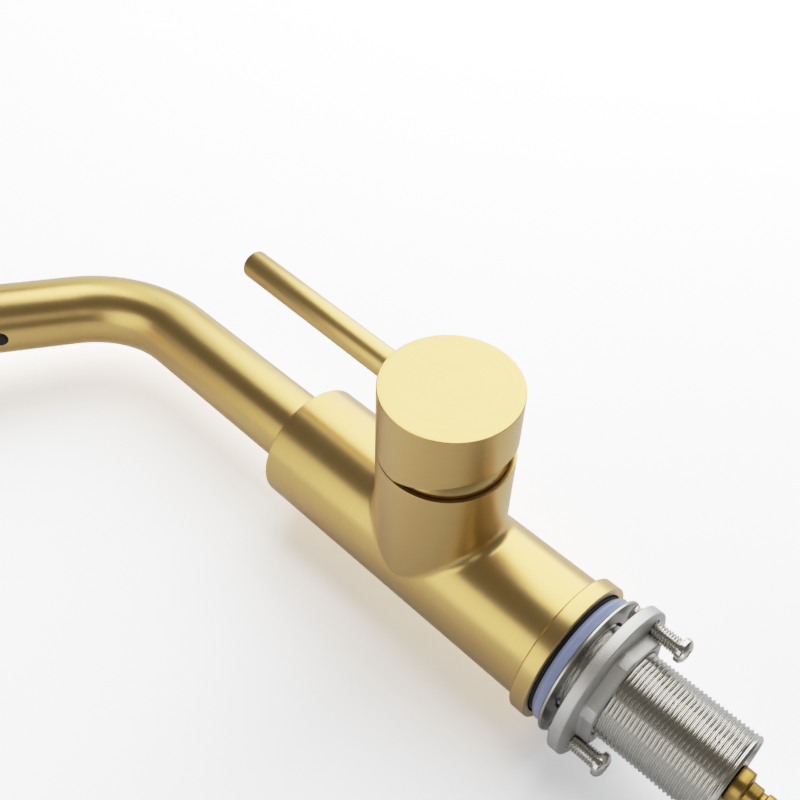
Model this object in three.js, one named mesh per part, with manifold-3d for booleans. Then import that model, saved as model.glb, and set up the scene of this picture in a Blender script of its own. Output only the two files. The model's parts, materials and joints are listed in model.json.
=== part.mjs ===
// Single-hole kitchen faucet with a side lever and a wand that pulls out of the spout.
// Millimetres, +Z up. The origin is the centre of the base ring's underside, where it meets the deck.
// The spout points to -Y (turned a little towards +X) and the lever side is +X.

import * as THREE from 'three';
import { mergeVertices } from 'three/addons/utils/BufferGeometryUtils.js';
import Module from 'manifold-3d';

// ---------- driving dimensions ----------
const GAP = 0.3;
const FINE = 24;
const MEDIUM = 16;
const COARSE = 8;
const DOME_STEPS = 3;
const DEG = Math.PI / 180;

// body and base
const BODY_RADIUS = 23;
const BODY_TOP = 126.8;
const PASSAGE_RADIUS = 6.9;
const RING_RADIUS = 25.7;
const RING_HEIGHT = 6;
const RING_SKIRT = 2.5;
const RING_WEB = 1.6;
const RING_CHAMFER = 1;
const SEAL_CLEARANCE = 0.6;
const BODY_EDGE = 0.6;
const SUPPLY_PORTS = [[5, -9.6], [5, 9.6], [-10.6, 0]];
const SUPPLY_RADIUS = 3.3;
const FEED_RADIUS = 2.3;
const FEED_SIDE = 6.9;
const FEED_DROP = 1;
const MIXED_DROP = 9.8;
const MIXED_OUT = 10.4;

// clamping below the deck
const SHANK_RADIUS = 15.9;
const SHANK_BORE = 14.4;
const SHANK_HOLE = SHANK_RADIUS + 1.1;
const SHANK_BOTTOM = -60;
const SHANK_TOP = 18;
const GASKET_TOP = -1.1;
const GASKET_BOTTOM = -5.1;
const GASKET_FOOT = 23.7;
const GASKET_RADIUS = 23.9;
const GASKET_STEP = [23.1, -2.7];
const GASKET_NECK = 22.7;
const WASHER_TOP = -5.4;
const WASHER_THICK = 0.7;
const WASHER_DISH = 24.2;
const WASHER_RIM = 25.4;
const WASHER_LIP = 0.6;
const NUT_TOP = -11.2;
const NUT_FLANGE = 27.8;
const NUT_FLANGE_HEIGHT = 4.2;
const NUT_HUB = 19.4;
const NUT_FLATS = 17.8;
const NUT_BOTTOM = -20.2;
const NUT_TURN = 23;
const JACK_CIRCLE = 22;
const JACK_ANGLES = [53, 233];
const JACK_RADIUS = 3;
const JACK_HEAD_RADIUS = 4.3;
const JACK_TIP = -7.2;
const JACK_HEAD_TOP = -25.6;
const JACK_HEAD_BOTTOM = -28.6;
const JACK_HEAD_CROWN = 2.6;
const CROSS_LENGTH = 4.2;
const CROSS_WIDTH = 1.1;
const CROSS_DEPTH = 1.6;

// handle side, measured outwards along its own axis from the body's axis
const PORT_HEIGHT = 60.9;
const PORT_RADIUS = 22.5;
const PORT_RIM = 51.6;
const PORT_EDGE = 0.5;
const PORT_FLOOR = 14.2;
const PORT_THREAD = 19;
const PORT_THREAD_FOOT = 46;
const PORT_LIP = 20.7;
const PORT_MOUTH = 21.3;
const CARTRIDGE_RADIUS = 17.3;
const CARTRIDGE_TOP = 43;
const CARTRIDGE_WALL = 1.8;
const CARTRIDGE_SHOULDER = 36.6;
const CARTRIDGE_NECK = [11.1, 38.6];
const CARTRIDGE_FOOT_TOP = 18.6;
const SEAL_SEAT = 4;
const SEAL_SEAT_DEPTH = 1.7;
const PORT_SEAL = [2.4, 3.7, 0.1, 1.4];
const FIXED_DISC = [13.8, 18.9, 22.2];
const MOVING_DISC = [9.5, 22.5, 25.7];
const RECESS_WIDTH = 5;
const RECESS_REACH = 7;
const RECESS_TOP = 24.2;
const RECESS_SHIFT = 2.4;
const CARRIER = [9.8, 26, 30.8];
const CARRIER_HOLE = [3.3, 26.7];
const GUIDE_FLANGE = [13, 32.6, 35.4];
const GUIDE_STEM = [10.7, 35.6, 48];
const GUIDE_SLOT = [19.2, 8.6];
const PIN_RADIUS = 1.5;
const PIN_REACH = 10.2;
const SPINDLE_WIDE = 6;
const SPINDLE_DEEP = 7.4;
const SPINDLE_FOOT = 31.5;
const SPINDLE_TOP = 72;
const SPINDLE_NECK = 1.9;
const BALL_RADIUS = 2.7;
const BALL_CENTRE = 29.8;
const NUT_RING = [13.6, 18.6, 50.4];
const NUT_NOTCH = 3.4;
const NUT_NOTCH_FOOT = 48.4;
const PIVOT = 44;
const DOME_COLLAR = 20.3;
const DOME_COLLAR_FOOT = 46.3;
const DOME_START = 51.2;
const DOME_WALL = 1.8;
const DOME_RADIUS = 21.6;
const DOME_TOP = 58;
const CAP_RADIUS = 22.5;
const CAP_EDGE = 52.3;
const CAP_TOP = 79;
const CAP_EDGE_BREAK = 0.5;
const CAP_BORE = 21.3;
const CAP_CEILING = 75.6;
const CAP_HUB = 16;
const CAP_HUB_FOOT = 64.2;
const CAP_SOCKET_TOP = 72.6;
const CAP_SLANT = 19 * DEG;
const CAP_KINK = 1.8;
const CAP_TAP = 3.2;
const CAP_TAP_END = -7.6;
const LEVER_MOUTH_END = -16.2;
const GRUB_HOLE = 2.1;
const LEVER_OUT = 68.1;
const LEVER_RADIUS = 5;
const LEVER_REACH = 95;
const LEVER_LEAN = 1.5;
const LEVER_EDGE = 0.7;
const LEVER_SHOULDER = -16.5;
const LEVER_TAIL = -8;
const LEVER_TAIL_RADIUS = 2.9;
const GRUB_RADIUS = 1.9;
const GRUB_ENDS = [4.3, 12];
const PLUG_RADIUS = 1.8;
const PLUG_ENDS = [20.4, 22.4];

// spout
const SPOUT_YAW = 5.98 * DEG;
const SPOUT_RADIUS = 14.1;
const SPOUT_WALL = 1.2;
const SPOUT_FOOT = 96.3;
const SPOUT_SOCKET = SPOUT_RADIUS + 0.5;
const SPOUT_SOCKET_FOOT = 80;
const GLIDE_SEAT = [16.7, 118.5, 125.3];
const GLIDE_RING = [SPOUT_RADIUS + 0.3, 16.4, 118.8, 125];
const GLIDE_SPLIT = 1.6;
const STOP_HEIGHT = 89;
const STOP_HOLE = 2.3;
const STOP_SCREW = [2, 14.3, 21.6];
const ADAPTER_BORE = 9;
const ADAPTER_LAND = 13.9;
const ADAPTER_NECK = 12.6;
const ADAPTER_ENDS = [81, 116];
const SPOUT_SEAL = [12.8, 14.2, 82.9, 84.5];
const SPOUT_SEAL_STEP = 9.4;
const BEND_RADIUS = 45;
const BEND_ANGLE = 62.79 * DEG;
const CORNER_HEIGHT = 236.8;
const BEND_TANGENT = BEND_RADIUS * Math.tan(BEND_ANGLE / 2);
const BEND_START = CORNER_HEIGHT - BEND_TANGENT;
const ARM_END = 34;
const HOSE_RADIUS = 5;
const HOSE_BOTTOM = -52;
const HOSE_END = 43;
const CONNECTOR_END = -74;

// wand, measured along the arm from the corner
const WAND_START = ARM_END + GAP;
const WAND_ELBOW = 165;
const WAND_ELBOW_RADIUS = 32;
const WAND_TURN = Math.PI - BEND_ANGLE;
const WAND_NOSE = 24;
const BUTTON_START = 54.7;
const BUTTON_WIDTH = 5.6;
const BUTTON_LENGTH = 36;
const BUTTON_END = BUTTON_START + BUTTON_LENGTH;
const BUTTON_MIDDLE = BUTTON_START + BUTTON_LENGTH / 2;
const BUTTON_FOOT = 11.4;
const BUTTON_PROUD = 0.4;
const STEM_RADIUS = 1.5;
const STEM_FOOT = 6.4;
const SPRING = [2.3, 8.7, 11, 2.5];
const SPRING_WIRE = 0.25;
const CORE_END = 158.6;
const CORE_RADIUS = 8.2;
const ELBOW_START = 158.9;
const ELBOW_BORE = 6.2;
const ELBOW_SHORT = 12;

// spray head, from the wand's rim
const NOZZLES = 12;
const NOZZLE_CIRCLE = 9.1;
const NOZZLE_HOLE = 1.15;
const MAT = [7.2, 11.2, -4.7, -3.5];
const FACE = [7, 11.2, -3.2, -0.6];
const AERATOR = [6.7, -4.7, -0.8];
const AERATOR_MOUTH = [5.6, -1.8];

// ---------- solids ----------
const wasm = await Module();
wasm.setup();

function toSolid(geometry) {
  const bare = geometry.clone();
  bare.deleteAttribute('normal');
  bare.deleteAttribute('uv');
  const merged = mergeVertices(bare, 1e-4);
  const index = merged.index.array;
  const corners = [];
  for (let i = 0; i < index.length; i += 3) {
    const [a, b, c] = [index[i], index[i + 1], index[i + 2]];
    if (a !== b && b !== c && c !== a) corners.push(a, b, c);
  }
  return new wasm.Manifold(new wasm.Mesh({
    numProp: 3,
    vertProperties: new Float32Array(merged.attributes.position.array),
    triVerts: new Uint32Array(corners),
  }));
}

function fromSolid(solid) {
  const mesh = solid.getMesh();
  const geometry = new THREE.BufferGeometry();
  geometry.setAttribute('position', new THREE.BufferAttribute(mesh.vertProperties, 3));
  geometry.setIndex(new THREE.BufferAttribute(mesh.triVerts, 1));
  return geometry;
}

function cut(base, ...tools) {
  let solid = toSolid(base);
  for (const tool of tools) solid = solid.subtract(toSolid(tool));
  return fromSolid(solid);
}

function join(...pieces) {
  let solid = toSolid(pieces[0]);
  for (const piece of pieces.slice(1)) solid = solid.add(toSolid(piece));
  return fromSolid(solid);
}

// A solid turned about Z from [radius, height] pairs, listed counter-clockwise.
function turned(profile, sides = FINE) {
  const outline = profile.map(([radius, height]) => new THREE.Vector2(radius, height));
  if (profile[0][0] > 0) outline.push(outline[0].clone());
  const shape = new THREE.LatheGeometry(outline, sides);
  shape.rotateX(Math.PI / 2);
  return fromSolid(toSolid(shape));
}

function rod(radius, bottom, top, sides = MEDIUM) {
  return turned([[0, bottom], [radius, bottom], [radius, top], [0, top]], sides);
}

function ring(inner, outer, bottom, top, sides = FINE) {
  return turned([[inner, bottom], [outer, bottom], [outer, top], [inner, top]], sides);
}

function toX(geometry, height = 0) {
  return geometry.rotateY(Math.PI / 2).translate(0, 0, height);
}

function toY(geometry) {
  return geometry.rotateX(-Math.PI / 2);
}

function block(wide, deep, bottom, top) {
  return new THREE.BoxGeometry(wide, deep, top - bottom).translate(0, 0, (bottom + top) / 2);
}

// A bar with round ends along Y at x = 0, extruded along Z.
function slotBar(width, start, end, bottom, top, sides = COARSE) {
  const half = width / 2;
  const outline = new THREE.Shape();
  outline.absarc(0, start + half, half, Math.PI, 2 * Math.PI);
  outline.absarc(0, end - half, half, 0, Math.PI);
  const bar = new THREE.ExtrudeGeometry(outline, {
    depth: top - bottom,
    bevelEnabled: false,
    curveSegments: sides / 4,
  });
  return bar.translate(0, 0, bottom);
}

// Straight, then an arc towards -Y, then straight again; it starts at `start` along +Z.
class BentPath extends THREE.Curve {
  constructor(start, lead, radius, angle, tail) {
    super();
    Object.assign(this, { start, lead, radius, angle, tail });
    this.arc = radius * angle;
    this.total = lead + this.arc + tail;
  }

  getPoint(t, target = new THREE.Vector3()) {
    const along = t * this.total;
    if (along <= this.lead) return target.set(0, 0, this.start + along);
    const turn = Math.min(along - this.lead, this.arc) / this.radius;
    const rest = Math.max(0, along - this.lead - this.arc);
    const y = -this.radius * (1 - Math.cos(turn)) - rest * Math.sin(this.angle);
    const z = this.start + this.lead + this.radius * Math.sin(turn) + rest * Math.cos(this.angle);
    return target.set(0, y, z);
  }
}

function swept(path, steps, outer, inner = 0, sides = MEDIUM) {
  const section = new THREE.Shape().absarc(0, 0, outer, 0, 2 * Math.PI);
  if (inner > 0) section.holes.push(new THREE.Path().absarc(0, 0, inner, 0, 2 * Math.PI));
  const tube = new THREE.ExtrudeGeometry(section, {
    steps,
    extrudePath: path,
    curveSegments: sides / 2,
    bevelEnabled: false,
  });
  return fromSolid(toSolid(tube));
}

class Helix extends THREE.Curve {
  constructor(radius, bottom, top, turns) {
    super();
    Object.assign(this, { radius, bottom, top, turns });
  }

  getPoint(t, target = new THREE.Vector3()) {
    const angle = 2 * Math.PI * this.turns * t;
    const height = this.bottom + (this.top - this.bottom) * t;
    return target.set(this.radius * Math.cos(angle), this.radius * Math.sin(angle), height);
  }
}

// ---------- finishes ----------
const brushedGold = { color: '#c9ae74', roughness: 0.32, metalness: 1 };
const brass = { color: '#b99b4f', roughness: 0.4, metalness: 1 };
const steel = { color: '#c4c6c8', roughness: 0.28, metalness: 1 };
const zinc = { color: '#c7c8c8', roughness: 0.5, metalness: 1 };
const blackRubber = { color: '#161616', roughness: 0.7, metalness: 0 };
const clearGasket = { color: '#a9b4d6', roughness: 0.3, metalness: 0 };
const blackPlastic = { color: '#1b1b1d', roughness: 0.45, metalness: 0 };
const whitePlastic = { color: '#e8e6df', roughness: 0.5, metalness: 0 };
const greyPlastic = { color: '#8d9094', roughness: 0.5, metalness: 0 };
const ceramic = { color: '#f1eee6', roughness: 0.2, metalness: 0 };
const braid = { color: '#77797d', roughness: 0.6, metalness: 0 };
const silicone = { color: '#6f7377', roughness: 0.6, metalness: 0 };

function piece(name, geometry, finish) {
  const mesh = new THREE.Mesh(geometry, new THREE.MeshStandardMaterial(finish));
  mesh.name = name;
  return mesh;
}

// ---------- base and clamping ----------
function baseRing() {
  const inner = RING_RADIUS - RING_SKIRT;
  const web = RING_HEIGHT - RING_WEB;
  return turned([
    [inner, 0], [RING_RADIUS, 0], [RING_RADIUS, RING_HEIGHT - RING_CHAMFER],
    [RING_RADIUS - RING_CHAMFER, RING_HEIGHT], [SHANK_HOLE, RING_HEIGHT], [SHANK_HOLE, web], [inner, web],
  ]);
}

function baseSeal() {
  const outer = RING_RADIUS - RING_SKIRT - SEAL_CLEARANCE;
  return ring(SHANK_HOLE, outer, GASKET_TOP + GAP, RING_HEIGHT - RING_WEB - GAP);
}

function deckGasket() {
  return turned([
    [SHANK_HOLE, GASKET_BOTTOM], [GASKET_FOOT, GASKET_BOTTOM], [GASKET_RADIUS, GASKET_BOTTOM + 0.6],
    GASKET_STEP, [GASKET_NECK, GASKET_TOP], [SHANK_HOLE, GASKET_TOP],
  ]);
}

function clampWasher() {
  const bottom = WASHER_TOP - WASHER_THICK;
  return turned([
    [SHANK_HOLE, bottom], [WASHER_DISH, bottom], [WASHER_DISH + 0.4, bottom - WASHER_LIP],
    [WASHER_RIM, bottom - WASHER_LIP], [WASHER_RIM, WASHER_TOP - 0.5], [WASHER_RIM - 0.5, WASHER_TOP],
    [SHANK_HOLE, WASHER_TOP],
  ]);
}

function mountingNut() {
  const flangeBottom = NUT_TOP - NUT_FLANGE_HEIGHT;
  const blank = turned([
    [SHANK_RADIUS + GAP, NUT_BOTTOM], [NUT_HUB, NUT_BOTTOM], [NUT_HUB, flangeBottom],
    [NUT_FLANGE, flangeBottom], [NUT_FLANGE, NUT_TOP], [SHANK_RADIUS + GAP, NUT_TOP],
  ]);
  const wide = 2 * NUT_FLANGE;
  const flats = [];
  for (let side = 0; side < 6; side += 1) {
    const waste = block(wide / 2, wide, NUT_BOTTOM - 1, flangeBottom - GAP);
    waste.translate(NUT_FLATS + wide / 4, 0, 0).rotateZ((side * 60 + NUT_TURN) * DEG);
    flats.push(waste);
  }
  const holes = JACK_ANGLES.map((angle) => {
    const hole = rod(JACK_RADIUS + GAP, NUT_BOTTOM, NUT_TOP + 1, COARSE);
    return hole.translate(JACK_CIRCLE, 0, 0).rotateZ(angle * DEG);
  });
  return cut(blank, ...flats, ...holes);
}

function jackScrew() {
  const screw = turned([
    [0, JACK_HEAD_BOTTOM], [JACK_HEAD_CROWN, JACK_HEAD_BOTTOM], [JACK_HEAD_RADIUS, JACK_HEAD_TOP - 1.6],
    [JACK_HEAD_RADIUS, JACK_HEAD_TOP], [JACK_RADIUS, JACK_HEAD_TOP], [JACK_RADIUS, JACK_TIP],
    [0, JACK_TIP],
  ], MEDIUM);
  const depth = JACK_HEAD_BOTTOM + CROSS_DEPTH;
  const across = block(CROSS_LENGTH, CROSS_WIDTH, JACK_HEAD_BOTTOM - 1, depth);
  const along = block(CROSS_WIDTH, CROSS_LENGTH, JACK_HEAD_BOTTOM - 1, depth);
  return cut(screw, across, along);
}

function threadedShank() {
  return ring(SHANK_BORE, SHANK_RADIUS, SHANK_BOTTOM, SHANK_TOP);
}

// ---------- body ----------
function faucetBody() {
  const barrel = turned([
    [0, RING_HEIGHT + GAP], [BODY_RADIUS, RING_HEIGHT + GAP], [BODY_RADIUS, BODY_TOP - BODY_EDGE],
    [BODY_RADIUS - BODY_EDGE, BODY_TOP], [0, BODY_TOP],
  ], FINE);
  const port = toX(turned([
    [0, 0], [PORT_RADIUS, 0], [PORT_RADIUS, PORT_RIM - PORT_EDGE], [PORT_RADIUS - PORT_EDGE, PORT_RIM],
    [0, PORT_RIM],
  ], FINE), PORT_HEIGHT);
  const passage = rod(PASSAGE_RADIUS, 0, SPOUT_SOCKET_FOOT + 10);
  const [seatRadius, seatFoot, seatTop] = GLIDE_SEAT;
  const spoutBore = turned([
    [0, SPOUT_SOCKET_FOOT], [SPOUT_SOCKET, SPOUT_SOCKET_FOOT], [SPOUT_SOCKET, seatFoot],
    [seatRadius, seatFoot], [seatRadius, seatTop], [SPOUT_SOCKET, seatTop],
    [SPOUT_SOCKET, BODY_TOP + 1], [0, BODY_TOP + 1],
  ]);
  const shankSocket = rod(SHANK_RADIUS + GAP, 0, SHANK_TOP + GAP, FINE);
  const cartridgeBore = CARTRIDGE_RADIUS + 0.5;
  const handleBore = toX(turned([
    [0, PORT_FLOOR], [cartridgeBore, PORT_FLOOR], [cartridgeBore, CARTRIDGE_TOP],
    [PORT_THREAD, CARTRIDGE_TOP], [PORT_THREAD, PORT_THREAD_FOOT], [PORT_LIP, PORT_THREAD_FOOT],
    [PORT_LIP, PORT_RIM - 0.6], [PORT_MOUTH, PORT_RIM + 0.1], [PORT_MOUTH, PORT_RIM + 1], [0, PORT_RIM + 1],
  ]), PORT_HEIGHT);
  const supplies = SUPPLY_PORTS.map(([x, y]) => {
    const way = rod(SUPPLY_RADIUS, 0, PORT_HEIGHT + 2, COARSE);
    return way.translate(x, y, 0);
  });
  const feeds = [-FEED_SIDE, FEED_SIDE].map((y) => {
    const feed = toX(rod(FEED_RADIUS, 7.8, PORT_FLOOR + 1, COARSE), PORT_HEIGHT - FEED_DROP);
    return feed.translate(0, y, 0);
  });
  const mixedDrop = rod(FEED_RADIUS, SHANK_TOP, PORT_HEIGHT - 7.5, COARSE).translate(MIXED_OUT, 0, 0);
  const mixedFeed = toX(rod(FEED_RADIUS, 9.5, PORT_FLOOR + 1, COARSE), PORT_HEIGHT - MIXED_DROP);
  const stopHole = toY(rod(STOP_HOLE, 13, BODY_RADIUS + 1, COARSE)).translate(0, 0, STOP_HEIGHT);
  return cut(
    join(barrel, port), passage, spoutBore, shankSocket, handleBore,
    ...supplies, ...feeds, mixedDrop, mixedFeed, stopHole,
  );
}

function spoutStopScrew() {
  return toY(rod(...STOP_SCREW, COARSE)).translate(0, 0, STOP_HEIGHT);
}

// ---------- cartridge, along the handle axis ----------
function portPattern() {
  return [[FEED_DROP, -FEED_SIDE], [FEED_DROP, FEED_SIDE], [MIXED_DROP, 0]];
}

function cartridgeBase() {
  const seatTop = PORT_FLOOR + SEAL_SEAT_DEPTH;
  const holes = portPattern().map(([x, y]) => rod(FEED_RADIUS, 10, 25, COARSE).translate(x, y, 0));
  const seats = portPattern().map(([x, y]) => rod(SEAL_SEAT, 10, seatTop, COARSE).translate(x, y, 0));
  return cut(rod(CARTRIDGE_RADIUS, PORT_FLOOR + GAP, CARTRIDGE_FOOT_TOP, FINE), ...holes, ...seats);
}

function portSeal() {
  const [inner, outer, foot, top] = PORT_SEAL;
  return ring(inner, outer, PORT_FLOOR + foot, PORT_FLOOR + top, COARSE);
}

function cartridgeHousing() {
  const inner = CARTRIDGE_RADIUS - CARTRIDGE_WALL;
  const foot = CARTRIDGE_FOOT_TOP + GAP;
  const top = CARTRIDGE_TOP - GAP;
  return turned([
    [inner, foot], [CARTRIDGE_RADIUS, foot], [CARTRIDGE_RADIUS, top],
    [CARTRIDGE_NECK[0], top], CARTRIDGE_NECK, [inner, CARTRIDGE_SHOULDER],
  ]);
}

function fixedDisc() {
  const holes = portPattern().map(([x, y]) => rod(FEED_RADIUS, 18, 24, COARSE).translate(x, y, 0));
  return cut(rod(...FIXED_DISC, FINE), ...holes);
}

function movingDisc() {
  const recess = slotBar(RECESS_WIDTH, -RECESS_REACH, RECESS_REACH, 22, RECESS_TOP);
  return cut(rod(...MOVING_DISC, MEDIUM), recess.rotateZ(90 * DEG).translate(RECESS_SHIFT, 0, 0));
}

function discCarrier() {
  return cut(rod(...CARRIER, MEDIUM), rod(...CARRIER_HOLE, CARRIER[2] + 1, MEDIUM));
}

function swivelGuide() {
  const [flange, foot, shoulder] = GUIDE_FLANGE;
  const [stem, stemFoot, top] = GUIDE_STEM;
  const collar = turned([
    [0, foot], [flange, foot], [flange, shoulder], [stem, stemFoot], [stem, top], [0, top],
  ], MEDIUM);
  const slot = block(...GUIDE_SLOT, foot - 2, top + 2);
  const pinHole = toY(rod(PIN_RADIUS + GAP, -12, 12, COARSE)).translate(0, 0, PIVOT);
  return cut(collar, slot, pinHole);
}

function pivotPin() {
  return toY(rod(PIN_RADIUS, -PIN_REACH, PIN_REACH, COARSE)).translate(0, 0, PIVOT);
}

function spindle() {
  const stem = block(SPINDLE_WIDE, SPINDLE_DEEP, SPINDLE_FOOT, SPINDLE_TOP);
  const neck = rod(SPINDLE_NECK, BALL_CENTRE - 2.4, SPINDLE_FOOT + 1.5, COARSE);
  const ball = new THREE.SphereGeometry(BALL_RADIUS, MEDIUM, 8).rotateX(Math.PI / 2);
  const tip = ball.translate(0, 0, BALL_CENTRE);
  const hole = toY(rod(PIN_RADIUS + GAP, -10, 10, COARSE)).translate(0, 0, PIVOT);
  return cut(join(stem, neck, tip), hole);
}

function cartridgeNut() {
  const [inner, outer, top] = NUT_RING;
  const notches = [];
  for (let side = 0; side < 3; side += 1) {
    notches.push(block(40, NUT_NOTCH, NUT_NOTCH_FOOT, top + 1).rotateZ((side * 60 + 30) * DEG));
  }
  return cut(ring(inner, outer, CARTRIDGE_TOP + GAP, top), ...notches);
}

function domeRing() {
  const outer = [];
  const inner = [];
  const innerRadius = DOME_RADIUS - DOME_WALL;
  for (let step = 0; step <= DOME_STEPS; step += 1) {
    const height = DOME_START + (DOME_TOP - DOME_START) * (step / DOME_STEPS);
    outer.push([Math.sqrt(DOME_RADIUS ** 2 - (height - PIVOT) ** 2), height]);
    inner.unshift([Math.sqrt(innerRadius ** 2 - (height - PIVOT) ** 2), height]);
  }
  const bore = DOME_COLLAR - 1.3;
  return turned([
    [bore, DOME_COLLAR_FOOT], [DOME_COLLAR, DOME_COLLAR_FOOT], ...outer, ...inner, [bore, DOME_START - 0.4],
  ]);
}

// ---------- handle, along the same axis; the lever points to local -X, leaning a little to +Y ----------
function atLever(shape) {
  return shape.translate(0, 0, LEVER_OUT).rotateZ(-LEVER_LEAN * DEG);
}

function handleCap() {
  const skin = turned([
    [0, CAP_EDGE], [CAP_RADIUS, CAP_EDGE], [CAP_RADIUS, CAP_TOP - CAP_EDGE_BREAK],
    [CAP_RADIUS - CAP_EDGE_BREAK, CAP_TOP], [0, CAP_TOP],
  ], FINE);
  const hollow = turned([
    [0, CAP_EDGE - 1], [CAP_BORE, CAP_EDGE - 1], [CAP_BORE, CAP_CEILING], [CAP_HUB, CAP_CEILING],
    [CAP_HUB, CAP_HUB_FOOT], [0, CAP_HUB_FOOT],
  ]);
  const socket = block(SPINDLE_WIDE + 2 * GAP, SPINDLE_DEEP + 2 * GAP, CAP_HUB_FOOT - 4, CAP_SOCKET_TOP);
  const wedge = block(60, 60, 0, 30).translate(30, 0, -30).rotateY(-CAP_SLANT);
  const slant = wedge.translate(-CAP_KINK, 0, CAP_EDGE);
  const leverTap = atLever(toX(rod(CAP_TAP, -25, CAP_TAP_END, COARSE)));
  const leverMouth = atLever(toX(rod(LEVER_RADIUS + GAP, -25, LEVER_MOUTH_END, MEDIUM)));
  const grubHole = atLever(toY(rod(GRUB_HOLE, 0, 25, COARSE)));
  return cut(skin, hollow, socket, slant, leverTap, leverMouth, grubHole);
}

function leverRod() {
  return atLever(toX(turned([
    [0, -LEVER_REACH], [LEVER_RADIUS - LEVER_EDGE, -LEVER_REACH], [LEVER_RADIUS, LEVER_EDGE - LEVER_REACH],
    [LEVER_RADIUS, LEVER_SHOULDER], [LEVER_TAIL_RADIUS, LEVER_SHOULDER], [LEVER_TAIL_RADIUS, LEVER_TAIL],
    [0, LEVER_TAIL],
  ], MEDIUM)));
}

function grubScrew() {
  const screw = toY(rod(GRUB_RADIUS, ...GRUB_ENDS, COARSE));
  const key = toY(new THREE.CylinderGeometry(1, 1, 4, 6).rotateX(Math.PI / 2).translate(0, 0, GRUB_ENDS[1]));
  return atLever(cut(screw, key));
}

function handlePlug() {
  const [foot, face] = PLUG_ENDS;
  return atLever(toY(turned([
    [0, foot], [PLUG_RADIUS, foot], [PLUG_RADIUS, face - 0.3], [PLUG_RADIUS - 0.4, face], [0, face],
  ], COARSE)));
}

// ---------- spout ----------
function spoutTube() {
  const lead = BEND_START - SPOUT_FOOT;
  const path = new BentPath(SPOUT_FOOT, lead, BEND_RADIUS, BEND_ANGLE, ARM_END - BEND_TANGENT);
  return swept(path, 20, SPOUT_RADIUS, SPOUT_RADIUS - SPOUT_WALL);
}

function spoutAdapter() {
  const [foot, top] = ADAPTER_ENDS;
  const land = ADAPTER_LAND;
  const neck = ADAPTER_NECK;
  const sleeve = SPOUT_RADIUS - SPOUT_WALL - 0.4;
  return turned([
    [ADAPTER_BORE, foot], [land, foot], [land, 82.6], [neck, 82.6], [neck, 84.8], [land, 84.8], [land, 87.2],
    [neck - 0.2, 87.2], [neck - 0.2, 90.8], [land, 90.8], [land, 92], [neck, 92], [neck, 94.2], [land, 94.2],
    [land, SPOUT_FOOT - GAP], [sleeve, SPOUT_FOOT - GAP], [sleeve, top - 2], [sleeve - 1.5, top],
    [ADAPTER_BORE, top],
  ], MEDIUM);
}

function spoutSeal() {
  return ring(...SPOUT_SEAL, MEDIUM);
}

function glideRing() {
  const band = ring(...GLIDE_RING, FINE);
  const [, middle, foot, top] = GLIDE_RING;
  return cut(band, block(8, GLIDE_SPLIT, foot - 1, top + 1).translate(middle, 0, 0).rotateZ(90 * DEG));
}

function wandDock() {
  return turned([
    [10.2, 28.6], [12.6, 28.6], [12.6, ARM_END], [10.8, ARM_END], [10.2, 33.2],
  ], MEDIUM);
}

function sprayHose() {
  const lead = BEND_START - HOSE_BOTTOM;
  const path = new BentPath(HOSE_BOTTOM, lead, BEND_RADIUS, BEND_ANGLE, HOSE_END - BEND_TANGENT);
  return swept(path, 44, HOSE_RADIUS, 0, 8);
}

function hoseConnector() {
  return turned([
    [0, CONNECTOR_END], [4, CONNECTOR_END], [4, -70], [3.2, -69.6], [3.2, -68.4], [4, -68], [4, -64.6],
    [6.2, -64], [6.2, -60], [5.4, -59.6], [5.4, HOSE_BOTTOM - GAP], [0, HOSE_BOTTOM - GAP],
  ], MEDIUM);
}

// ---------- wand, in the arm's frame: +Z along the arm, -Y is the underside ----------
function wandPath(start, tail) {
  return new BentPath(start, WAND_ELBOW - start, WAND_ELBOW_RADIUS, WAND_TURN, tail);
}

function buttonBar(width, start, end, depthIn, depthOut) {
  const bar = slotBar(width, start, end, depthIn, depthOut);
  return bar.rotateX(Math.PI / 2);
}

function wandShell() {
  const tube = swept(wandPath(WAND_START, WAND_NOSE), 26, SPOUT_RADIUS, SPOUT_RADIUS - SPOUT_WALL);
  const window = buttonBar(BUTTON_WIDTH + 2 * GAP, BUTTON_START - GAP, BUTTON_END + GAP, 9, 18);
  return cut(tube, window);
}

function modeButton() {
  const bar = buttonBar(BUTTON_WIDTH, BUTTON_START, BUTTON_END, BUTTON_FOOT, SPOUT_RADIUS + BUTTON_PROUD);
  const stem = rod(STEM_RADIUS, STEM_FOOT, BUTTON_FOOT + 0.6, COARSE).rotateX(Math.PI / 2);
  return join(bar, stem.translate(0, 0, BUTTON_MIDDLE));
}

function buttonSpring() {
  const coil = new Helix(...SPRING);
  return swept(coil, 28, SPRING_WIRE, 0, 4).rotateX(Math.PI / 2).translate(0, 0, BUTTON_MIDDLE);
}

function wandCore() {
  const core = turned([
    [7.9, 29.4], [9.9, 29.4], [9.9, 34.4], [12.5, 36], [12.5, 44], [CORE_RADIUS, 48],
    [CORE_RADIUS, CORE_END], [5.6, CORE_END], [5.6, 64.3], [6.6, 64.3], [6.6, 47.3], [7.9, 47.3],
  ], MEDIUM);
  const stemHole = rod(STEM_RADIUS + GAP, 4, 10, COARSE).rotateX(Math.PI / 2).translate(0, 0, BUTTON_MIDDLE);
  return cut(core, stemHole);
}

function hoseNut() {
  return turned([
    [5.3, 36], [7.5, 36], [7.5, 46.9], [3, 46.9], [3, HOSE_END + GAP], [5.3, HOSE_END + GAP],
  ], MEDIUM);
}

function checkValve() {
  return turned([
    [0, 56], [3.4, 53], [3.4, 47.6], [6.3, 47.6], [6.3, 64], [4.2, 64], [4.2, 57.6], [0, 58.4],
  ], MEDIUM);
}

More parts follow.
